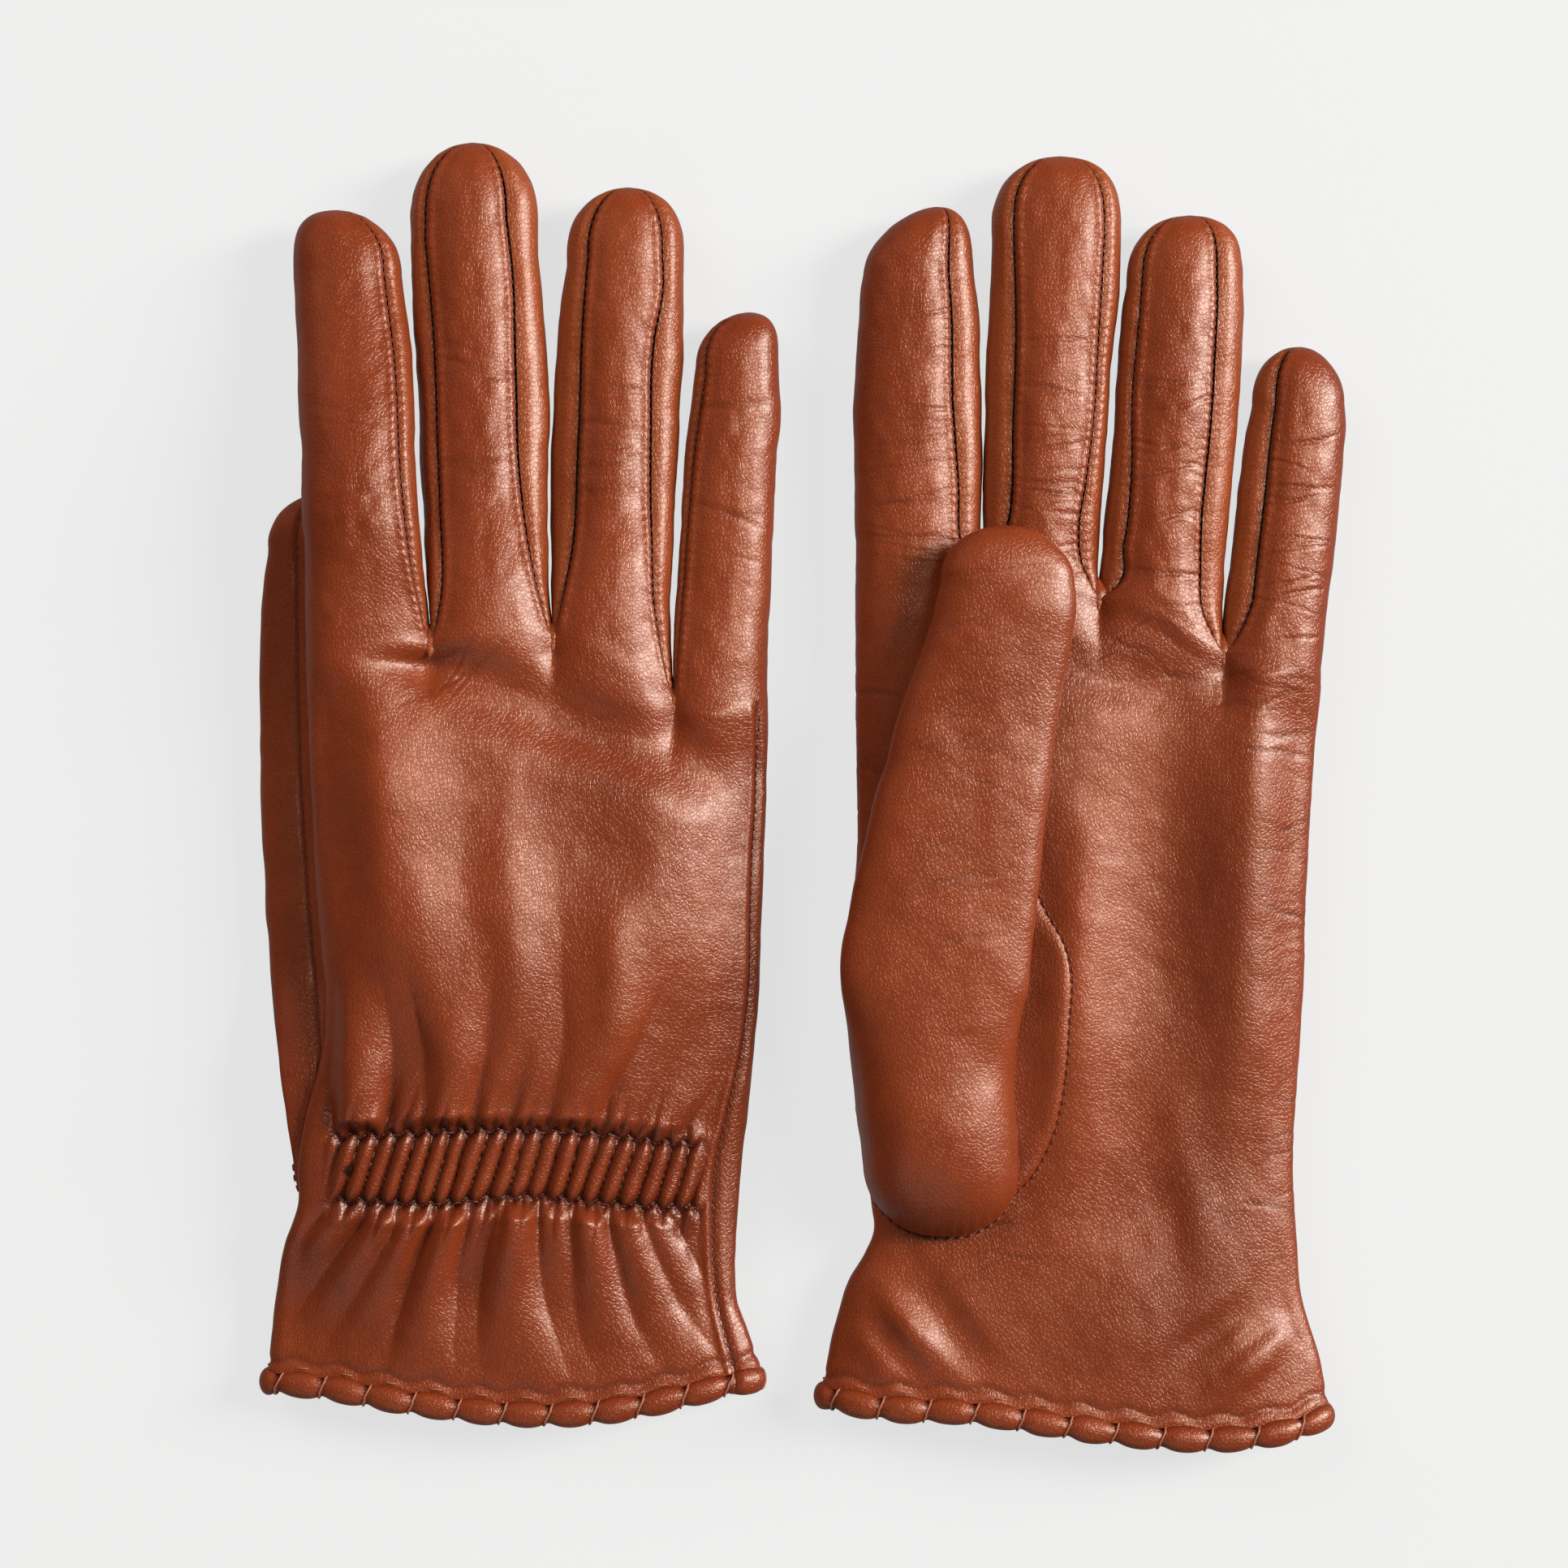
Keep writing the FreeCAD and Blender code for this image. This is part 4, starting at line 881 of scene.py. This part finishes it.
def buildGlove(g):
    name = g["name"]
    hand = name + "_hand"
    plain = [fingerSkin(g, k) for k in range(4)]
    skins = [fingerPieceSkin(g, k, plain[k]) for k in range(4)]
    g["skin"] = buildHand(g, plain)
    # the fingers' first rows take the hand's normals, so that the skin runs on without a line
    edge = g["skin"][1][-1]
    for k, (_, normals, _) in enumerate(skins):
        normals[0, topSide] = edge[s + k * n:s + (k + 1) * n]
        normals[0, underSide] = edge[2 * s + (7 - k) * n:2 * s + (8 - k) * n]
    skins[0][1][0, leftStrip] = edge[leftStrip]
    skins[3][1][0, rightStrip] = edge[handRight]
    middle = s // 2
    upper = list(range(middle, panelEnd(g)))
    lower = list(range(panelEnd(g) - 1, len(edge))) + list(range(middle + 1))
    for columns, isBack in ((upper, g["backUp"]), (lower, not g["backUp"])):
        node = name + ("_back_panel" if isBack else "_palm_panel")
        rideAs(partOf(g["skin"], node + "_leather", columns, outerLeather), hand, "leather", node)
    names = [f["name"] for f in g["fingers"]]
    for k in range(3):
        # one strip runs up the side of one finger, round the fork and up the side of the next
        node = f"{name}_{names[k]}_{names[k + 1]}_fork"
        points, shade = [np.concatenate([skins[k][part][forkRows:0:-1, rightStrip],
                                         skins[k + 1][part][:forkRows + 1, leftStrip][:, ::-1]])
                         for part in (0, 2)]
        piece = gridPiece(node + "_strip", points, stripLeather, shade=shade, flip=True)
        rideAs(piece, hand, "gusset_leather", node)
    for k in range(4):
        finger = f"{name}_{names[k]}"
        pivot = jointPlace(finger + "_bend")

        def finish(piece, slot, *nodes):
            blendAs(piece, hand, finger + "_tip", pivot, 7, 7, slot, *nodes)

        parts = {"_upper": topSide, "_lower": underSide}
        if k == 0:
            parts = {"": np.r_[underSide, leftStrip, topSide]}
        if k == 3:
            parts = {"": np.r_[topSide, rightStrip, underSide]}
        for part, (label, columns) in enumerate(parts.items()):
            piece = partOf(skins[k], finger + "_finger_leather" + label, columns, outerLeather)
            finish(piece, "leather", *([finger + "_finger"] if part == 0 else []))
        strips = ([("inner", leftStrip)] if k > 0 else []) + ([("outer", rightStrip)] if k < 3 else [])
        aboveFork = [rows[forkRows:] for rows in skins[k]]
        for part, (label, columns) in enumerate(strips):
            piece = partOf(aboveFork, finger + "_side_strip_" + label, columns, stripLeather)
            finish(piece, "gusset_leather", *([finger + "_side_strips"] if part == 0 else []))
        lining = closedEnd((plain[k] - gridNormals(plain[k]) * 1.5)[0:-1:5, ::4])
        finish(gridPiece(finger + "_lining_tube", lining, liningKnit, True), "lining", finger + "_lining")
        points, normals, _ = skins[k]
        paths = []
        for column, _ in seamColumns(k):
            paths += stitchesAlong(points[2:-6, column], normals[2:-6, column], 1.6, 0.95, 0.07, sway=0.06)
        finish(threadPiece(finger + "_seam_stitches", paths, 0.11, seamThread), "thread")
    print(name, "hand and fingers made")


# the thumb and its gusset

thumbShape = {
    "rows": 210, "columns": 132, "half": 4.6, "baseRound": 12.9, "tipRound": 10.5, "climb": 24.0,
    "roundShare": 0.18, "gusset": [(-15.4, -0.5), (-20.8, 2.4), (-27, 6.4), (-42, 9.2), (-57, 8.3),
                                   (-66, 5.0), (-72, 0.8), (-77, -5.2)]}


def palmSide(g):
    return -1 if g["backUp"] else 1


def palmSurface(g, x, y):     # height of the palm's skin, folds included
    left, right = handLimits(g, y)
    share = np.clip((x - left) / (right - left), 0.002, 0.998)
    lift = broadLift(x, y, share, g["palmSwells"], g["seed"])
    return handHeight(g, share, y, not g["backUp"]) + palmSide(g) * lift


def roundOff(past, size, power):     # what is left of a section that far past the start of a rounding
    return math.sqrt(max(1 - (max(past, 0) / size) ** power, 0))


def thumbSkin(g):
    t, shape, sign = g["thumb"], thumbShape, palmSide(g)
    base, tip = t["base"], t["tip"]
    shoulder, neck = base + shape["baseRound"], tip - shape["tipRound"]
    middle = 5.0 if g["backUp"] else 19.75
    ends = shape["roundShare"]
    angle = np.arange(shape["columns"]) * 2 * np.pi / shape["columns"]
    c, d = np.cos(angle), np.sin(angle)
    bulge = np.sign(d) * np.abs(d) ** 0.74
    rows = []
    for i in range(shape["rows"]):
        r = i / (shape["rows"] - 1)
        y = mix(shoulder, neck, (r - ends) / (1 - 2 * ends))
        if r < ends:
            y = shoulder - shape["baseRound"] * math.cos(math.pi / 2 * r / ends)
        elif r >= 1 - ends:
            y = neck + shape["tipRound"] * math.sin(math.pi / 2 * (r - 1 + ends) / ends)
        inside = min(max(y, shoulder), neck)
        left, right = through(t["left"], inside), through(t["right"], inside)
        narrow = roundOff(shoulder - y, shape["baseRound"], 2.2) * roundOff(y - neck, shape["tipRound"], 2.3)
        x = (left + right) / 2 + (right - left) / 2 * narrow * -np.sign(c) * np.abs(c) ** 0.82
        # the foot rises out of the palm; further up the thumb lies free over it
        half = sign * shape["half"] * roundOff(y - neck, shape["tipRound"], 3)
        rise = roundOff(1 - min((y - base) / shape["climb"], 1), 1, 2.4)
        free = float(ease((y - base - 26) / 24))
        palm = palmSurface(g, x, np.full(len(x), y))
        line = mix(palm, middle, free)
        outer = mix(line, middle + half, mix(rise, 1, free))
        inner = mix(palm - sign * 0.9, middle - half, free)
        z = line + (np.where(bulge * sign > 0, outer, inner) - line) * np.abs(bulge)
        rows.append(np.stack([x, np.full(len(x), y), z], axis=1))
    return np.array(rows)


def thumbDetail(g, points):
    x, y = points[..., 0], points[..., 1]
    seed = g["seed"] * 5
    columns = points.shape[1]
    outer = np.sin(np.arange(columns) * 2 * np.pi / columns) * palmSide(g) > 0
    base, tip = g["thumb"]["base"], g["thumb"]["tip"]
    lift = 0.5 * cloud(x, y, 16, seed) + 0.24 * cloud(x, y, 7, seed + 1) + 0.08 * cloud(x, y, 3.2, seed + 2)
    lift = lift * ease((y - base - 3) / 10)
    shade = np.zeros_like(x)
    for middle, spread, count, deep in ((tip - 34, 20, 26, 0.09), (tip - 70, 18, 12, 0.10)):
        folds, dark = creases(x, y, middle, spread, count, deep, (0.28, 0.5), (4, 12), seed + count)
        lift += folds * outer
        shade += dark * outer
    # the thumb's own long seam lies on the side that faces the hand
    sewn = int(round(-palmSide(g) * math.acos(0.42) / (2 * math.pi) * columns)) % columns
    away = np.linalg.norm(points - points[:, sewn][:, None], axis=2)
    aboveFoot = ease((y - base - 20) / 8)
    lift -= 0.42 * bell(away / 0.6) * aboveFoot
    shade += 0.5 * bell(away / 0.45) * aboveFoot
    # puckers where the base is sewn into the palm
    lift += 0.06 * fading((y - base) / 5.0) * np.sin(x * 2 * np.pi / 2.1 + 1.2 * cloud(x, y, 6, seed + 7))
    return lift, shade, sewn


def seamOnPalm(g, x, y, aside, above, pitch, length, lift):     # stitches a little above the palm's skin
    sign = palmSide(g)
    line = np.stack([x + aside, y, palmSurface(g, x, y) + sign * above], axis=1)
    keepOffTable(line[None])
    return stitchesAlong(line, np.tile([0, 0, float(sign)], (len(line), 1)), pitch, length, lift)


def buildThumb(g):
    name = g["name"]
    hand, thumb = name + "_hand", name + "_thumb"
    plain = thumbSkin(g)
    normals = gridNormals(plain)
    inward = float((normals * (plain - plain.mean(axis=1, keepdims=True))).sum(axis=2).mean()) < 0
    facing = -1 if inward else 1
    lift, shade, sewn = thumbDetail(g, plain)
    calm = calmTip(plain) * ease(np.linspace(0, 1, len(plain))[:, None] / 0.05)
    points, skinNormals, shade = lifted(plain, facing * normals, lift * calm, shade)
    skinNormals = facing * skinNormals
    pivot = jointPlace(thumb + "_spread")

    def finish(piece, slot, *nodes):
        blendAs(piece, hand, thumb + "_body", pivot, 9, 16, slot, *nodes)

    piece = gridPiece(thumb + "_leather", points, outerLeather, True, shade, skinNormals, inward)
    finish(piece, "leather", thumb)
    lining = closedEnd((plain - facing * normals * 1.5)[36:-2:5, ::4])
    piece = gridPiece(thumb + "_lining_tube", lining, liningKnit, True, flip=inward)
    finish(piece, "lining", thumb + "_lining")
    rows = np.arange(34, len(points) - 8)
    paths = stitchesAlong(points[rows, sewn], skinNormals[rows, sewn], 1.7, 1.1, 0.1)
    finish(threadPiece(thumb + "_seam_stitches", paths, 0.13, seamThread), "thread")
    # the base seam: a line of stitches round the foot of the thumb
    across = np.linspace(-1, 1, 80)
    shoulder = g["thumb"]["base"] + thumbShape["baseRound"]
    left, right = through(g["thumb"]["left"], shoulder), through(g["thumb"]["right"], shoulder)
    footX = (left + right) / 2 + (right - left) / 2 * across
    footY = shoulder - thumbShape["baseRound"] * np.sqrt(np.clip(1 - np.abs(across) ** 2.2, 0, 1)) - 0.35
    paths = seamOnPalm(g, footX, footY, 0.0, 0.15, 2.0, 1.25, 0.3)
    rideAs(threadPiece(thumb + "_base_stitches", paths, 0.2, seamThread), hand, "thread")
    # the gusset, a crescent sewn between the thumb and the palm
    y = np.linspace(-15.4, -77.0, 120)[:, None] + np.zeros((1, 40))
    edge = through(g["thumb"]["right"], y)
    outer = edge + through(thumbShape["gusset"], y)
    x = mix(edge - 5.5, outer, np.linspace(0, 1, 40))
    puff = 0.9 - 1.25 * np.exp((x - outer) / 0.9) + 0.18 * cloud(x, y, 6, g["seed"] + 70)
    gusset = np.stack([x, y, palmSurface(g, x, y) + palmSide(g) * puff], axis=2)
    if g["backUp"]:
        gusset = gusset[:, ::-1]
    keepOffTable(gusset)
    piece = gridPiece(thumb + "_gusset_leather", gusset[::-1], outerLeather, shade=np.zeros_like(x))
    thicken(piece, 0.5)
    rideAs(piece, hand, "gusset_leather", thumb + "_gusset")
    paths = seamOnPalm(g, outer[:, 0], y[:, 0], 0.1, 0.1, 1.9, 1.2, 0.15)
    rideAs(threadPiece(name + "_gusset_stitches", paths, 0.15, seamThread), hand, "thread")
    print(name, "thumb made")


# the cuff: rolled hem, laced edge, lining, elastic and outer seam

def buildCuff(g):
    name = g["name"]
    hand = name + "_hand"
    points, normals, _ = g["skin"]
    ring = np.vstack([points[0], points[0][:1]])
    run = runOf(ring)
    length = run[-1]
    spots = np.linspace(0, length, 900, endpoint=False)
    line = readAt(spots, run, ring)
    wide = readAt(spots, run, np.vstack([normals[0], normals[0][:1]]))
    for _ in range(6):
        wide = (np.roll(wide, 1, 0) + wide * 2 + np.roll(wide, -1, 0)) / 4
        line = (np.roll(line, 1, 0) + line * 2 + np.roll(line, -1, 0)) / 4
    wide[:, 1] = 0
    wide /= np.linalg.norm(wide, axis=1, keepdims=True)
    beads = round(length / hem["pitch"])
    pitch = length / beads
    centre = line + np.array([0, -hem["drop"], 0]) - wide * 0.25
    centre[:, 2] = np.maximum(centre[:, 2], hem["thick"] + 0.2)
    toBreak = np.minimum(spots % pitch, pitch - spots % pitch)
    size = 1 - hem["pinch"] * np.exp(-(toBreak / 1.5) ** 1.6) - 0.05 * np.cos(toBreak / pitch * 2 * np.pi)
    size += 0.05 * cloud(spots, spots * 0, 5, g["seed"] + 31)

    def around(angle, factor):
        c, d = np.cos(angle)[:, None, None], np.sin(angle)[:, None, None]
        return (centre[None] + c * wide[None] * (hem["thick"] * factor)[None, :, None]
                + d * np.array([0, 1.0, 0]) * (hem["high"] * factor)[None, :, None])

    turn = np.linspace(0, 2 * np.pi, 25)
    roll = around(turn, size)
    roll[..., 2] = np.maximum(roll[..., 2], 0.1)
    # painted shade in the clefts between the beads and along the roll's side towards the hand, where it meets
    # the sheet
    shade = 0.55 * bell(toBreak / 0.7) + 0.5 * bell((turn[:, None] - math.pi / 2) / 0.5)
    piece = gridPiece(name + "_hem_roll", roll, outerLeather, True, np.clip(shade, 0, 1))
    rideAs(piece, hand, "leather", name + "_cuff_hem")
    # thread whipped over the roll between the beads, with a short stitch in the sheet above each bead
    laces, short = [], []
    sweep = np.radians(np.linspace(130, -130, 19))
    surface = around(sweep, size + 0.07)
    row, rowNormals = points[3], normals[3]
    rowRun = runOf(row)
    along = np.linspace(-1, 1, 7)
    for b in range(beads):
        columns = np.round((b * pitch + 0.8 * np.sin(sweep)) / length * len(spots)).astype(int) % len(spots)
        path = surface[np.arange(len(sweep)), columns]
        path[:, 2] = np.maximum(path[:, 2], 0.3)
        laces.append(path)
        steps = (b + 0.5) * pitch / length * rowRun[-1] + 1.2 * along
        lift = (0.16 - 0.35 * np.abs(along) ** 3)[:, None]
        short.append(readAt(steps, rowRun, row) + readAt(steps, rowRun, rowNormals) * lift)
    rideAs(threadPiece(name + "_hem_lacing", laces, 0.21, laceThread), hand, "thread", name + "_hem_stitches")
    rideAs(threadPiece(name + "_hem_short_stitches", short, 0.16, laceThread), hand, "thread")


def buildInside(g):     # lining of the hand and the elastic at the wrist
    name = g["name"]
    hand = name + "_hand"
    # the lining keeps inside the leather: closer to it at the cuff, where it shows, than in the hand
    points = g["plainSkin"][2:-14:4, ::2].copy()
    x, y, z = [points[..., a].copy() for a in range(3)]
    left, right = handLimits(g, y)
    share = np.clip((x - left) / (right - left), 0, 1)
    level = mix(through(g["leftHeight"], y), through(g["rightHeight"], y), share)
    depth = ease((y - y[:1]) / 18)
    points[..., 0] = mix((left + right) / 2, x, mix(0.975, 0.955, depth))
    points[..., 2] = mix(level, z, mix(0.78, 0.45, depth))
    piece = gridPiece(name + "_hand_lining_tube", points, liningKnit, True)
    thicken(piece, 0.6)
    rideAs(piece, hand, "lining", name + "_hand_lining")
    first, last, _, _ = g["gather"]
    x = np.linspace(first, last, 90)[None] + np.zeros((14, 1))
    y = mix(through(g["lowerRow"], x) - 2.4, through(g["upperRow"], x) + 2.4, np.linspace(0, 1, 14)[:, None])
    left, right = handLimits(g, y)
    z = handHeight(g, (x - left) / (right - left), y, g["backUp"]) + palmSide(g) * 3.0
    piece = gridPiece(name + "_wrist_elastic_band", np.stack([x, y, z], axis=2), elasticWeave)
    thicken(piece, 0.6, 0.0)
    rideAs(piece, hand, "elastic", name + "_wrist_elastic")


def buildSeams(g):
    name = g["name"]
    hand = name + "_hand"
    points, normals, _ = g["skin"]
    rows, column = slice(3, handRows - 3), seamColumn(g)
    paths = stitchesAlong(points[rows, column], normals[rows, column], 1.7, 1.1, 0.1)
    rideAs(threadPiece(name + "_outer_seam_stitches", paths, 0.13, seamThread), hand, "thread")
    # the two rows of thread that hold the elastic, one stitch in each valley of the gathers
    first, last, pitch, slant = g["gather"]
    back = handTop if g["backUp"] else handUnder
    flat, flatNormals = points[:, back].reshape(-1, 3), normals[:, back].reshape(-1, 3)
    paths = []
    for row, side in (("upperRow", 1), ("lowerRow", -1)):
        for at in np.arange(first, last + 1, pitch):
            path = []
            for x in at + side * slant * 3.6 + np.array([-0.9, -0.45, 0, 0.45, 0.9]):
                k = np.argmin((flat[:, 0] - x) ** 2 + (flat[:, 1] - through(g[row], x)) ** 2)
                path.append(flat[k] + flatNormals[k] * 0.12)
            paths.append(path)
    piece = threadPiece(name + "_elastic_thread", paths, 0.15, seamThread)
    rideAs(piece, hand, "thread", name + "_elastic_stitches")
    # quirks: little diamonds that ease the foot of each fork
    size = 13
    across, along = np.meshgrid(np.linspace(-1, 1, size), np.linspace(-1, 1, size))
    lift = 0.2 - 1.98 * np.clip(along, 0, 1) ** 1.5 - 0.5 * across**2
    spots = []
    for cx, cy in g["crotches"][1:4]:
        for side, part in ((1, handTop), (-1, handUnder)):
            edge = points[-1, part]
            level = edge[np.argmin(np.abs(edge[:, 0] - cx)), 2]
            x = cx + across * 1.9 * (1 - np.abs(along)) ** 0.8
            y = cy + 0.6 + along * np.where(along > 0, 3.4, 3.0)
            spots.append(np.stack([x, y, level + side * lift], axis=2)[:, ::side])
    faces = np.vstack([gridFaces(size, size) + size**2 * i for i in range(len(spots))])
    spots = np.concatenate(spots).reshape(-1, 3)
    piece = meshFromArrays(name + "_quirk_diamonds", spots, faces, stripLeather, np.zeros(len(spots)))
    rideAs(piece, hand, "gusset_leather", name + "_quirks")


for glove in (rightGlove, leftGlove):
    for build in (buildGlove, buildThumb, buildCuff, buildInside, buildSeams):
        build(glove)
print("gloves made")


# stage, light and camera

def stage():
    bpy.ops.mesh.primitive_plane_add(size=4.0, location=(0, 0, -0.0002))
    floor = bpy.context.object
    floor.name = "table"
    material, tree, shader, _ = newMaterial("pale table")
    # bright to the camera, dim as a source of light
    seen = add(tree, "LightPath").outputs["Is Camera Ray"]
    feed(tree, shader, Base_Color=(0.11, 0.11, 0.11, 1), Roughness=1.0, Specular_IOR_Level=0.0,
         Emission_Color=(1, 1, 1, 1), Emission_Strength=scaled(tree, seen, (0.0, 1.0), (0.16, 0.715)))
    floor.data.materials.append(material)


def areaLight(name, place, size, power, color):
    light = bpy.data.lights.new(name, "AREA")
    light.shape = "RECTANGLE"
    light.size, light.size_y = size
    light.energy = power
    light.color = color
    lamp = bpy.data.objects.new(name, light)
    lamp.location = place
    lamp.rotation_euler = (Vector((0, 0, 0.01)) - Vector(place)).to_track_quat("-Z", "Y").to_euler()
    bpy.context.collection.objects.link(lamp)
    return lamp


stage()
paleSky = (1.0, 0.99, 0.98)
areaLight("window", (1.85, 0.55, 1.22), (0.6, 1.5), 102.0, (1.0, 0.955, 0.91))
gloss = areaLight("gloss", (0.70, 0.32, 1.5), (0.28, 0.8), 11.5, (1.0, 0.78, 0.62))
gloss.visible_diffuse = False
skyFill = areaLight("sky fill", (-1.3, 1.3, 1.5), (1.6, 1.6), 35.0, paleSky)
skyFill.visible_glossy = False
areaLight("room fill", (-0.6, -1.8, 1.6), (2.2, 1.6), 7.0, paleSky)
world = bpy.data.worlds.new("room")
bpy.context.scene.world = world
world.use_nodes = True
background = world.node_tree.nodes["Background"].inputs
background["Color"].default_value = (0.9, 0.92, 0.95, 1)
background["Strength"].default_value = 0.06

camera = bpy.data.cameras.new("camera")
camera.lens = 100
camera.sensor_width = 36
camera.clip_start = 0.01
eye = bpy.data.objects.new("camera", camera)
eye.location = (-0.0033, 0.0025, 0.818)
bpy.context.collection.objects.link(eye)
bpy.context.scene.camera = eye
bpy.context.scene.view_settings.view_transform = "Standard"
print("stage and lights set")
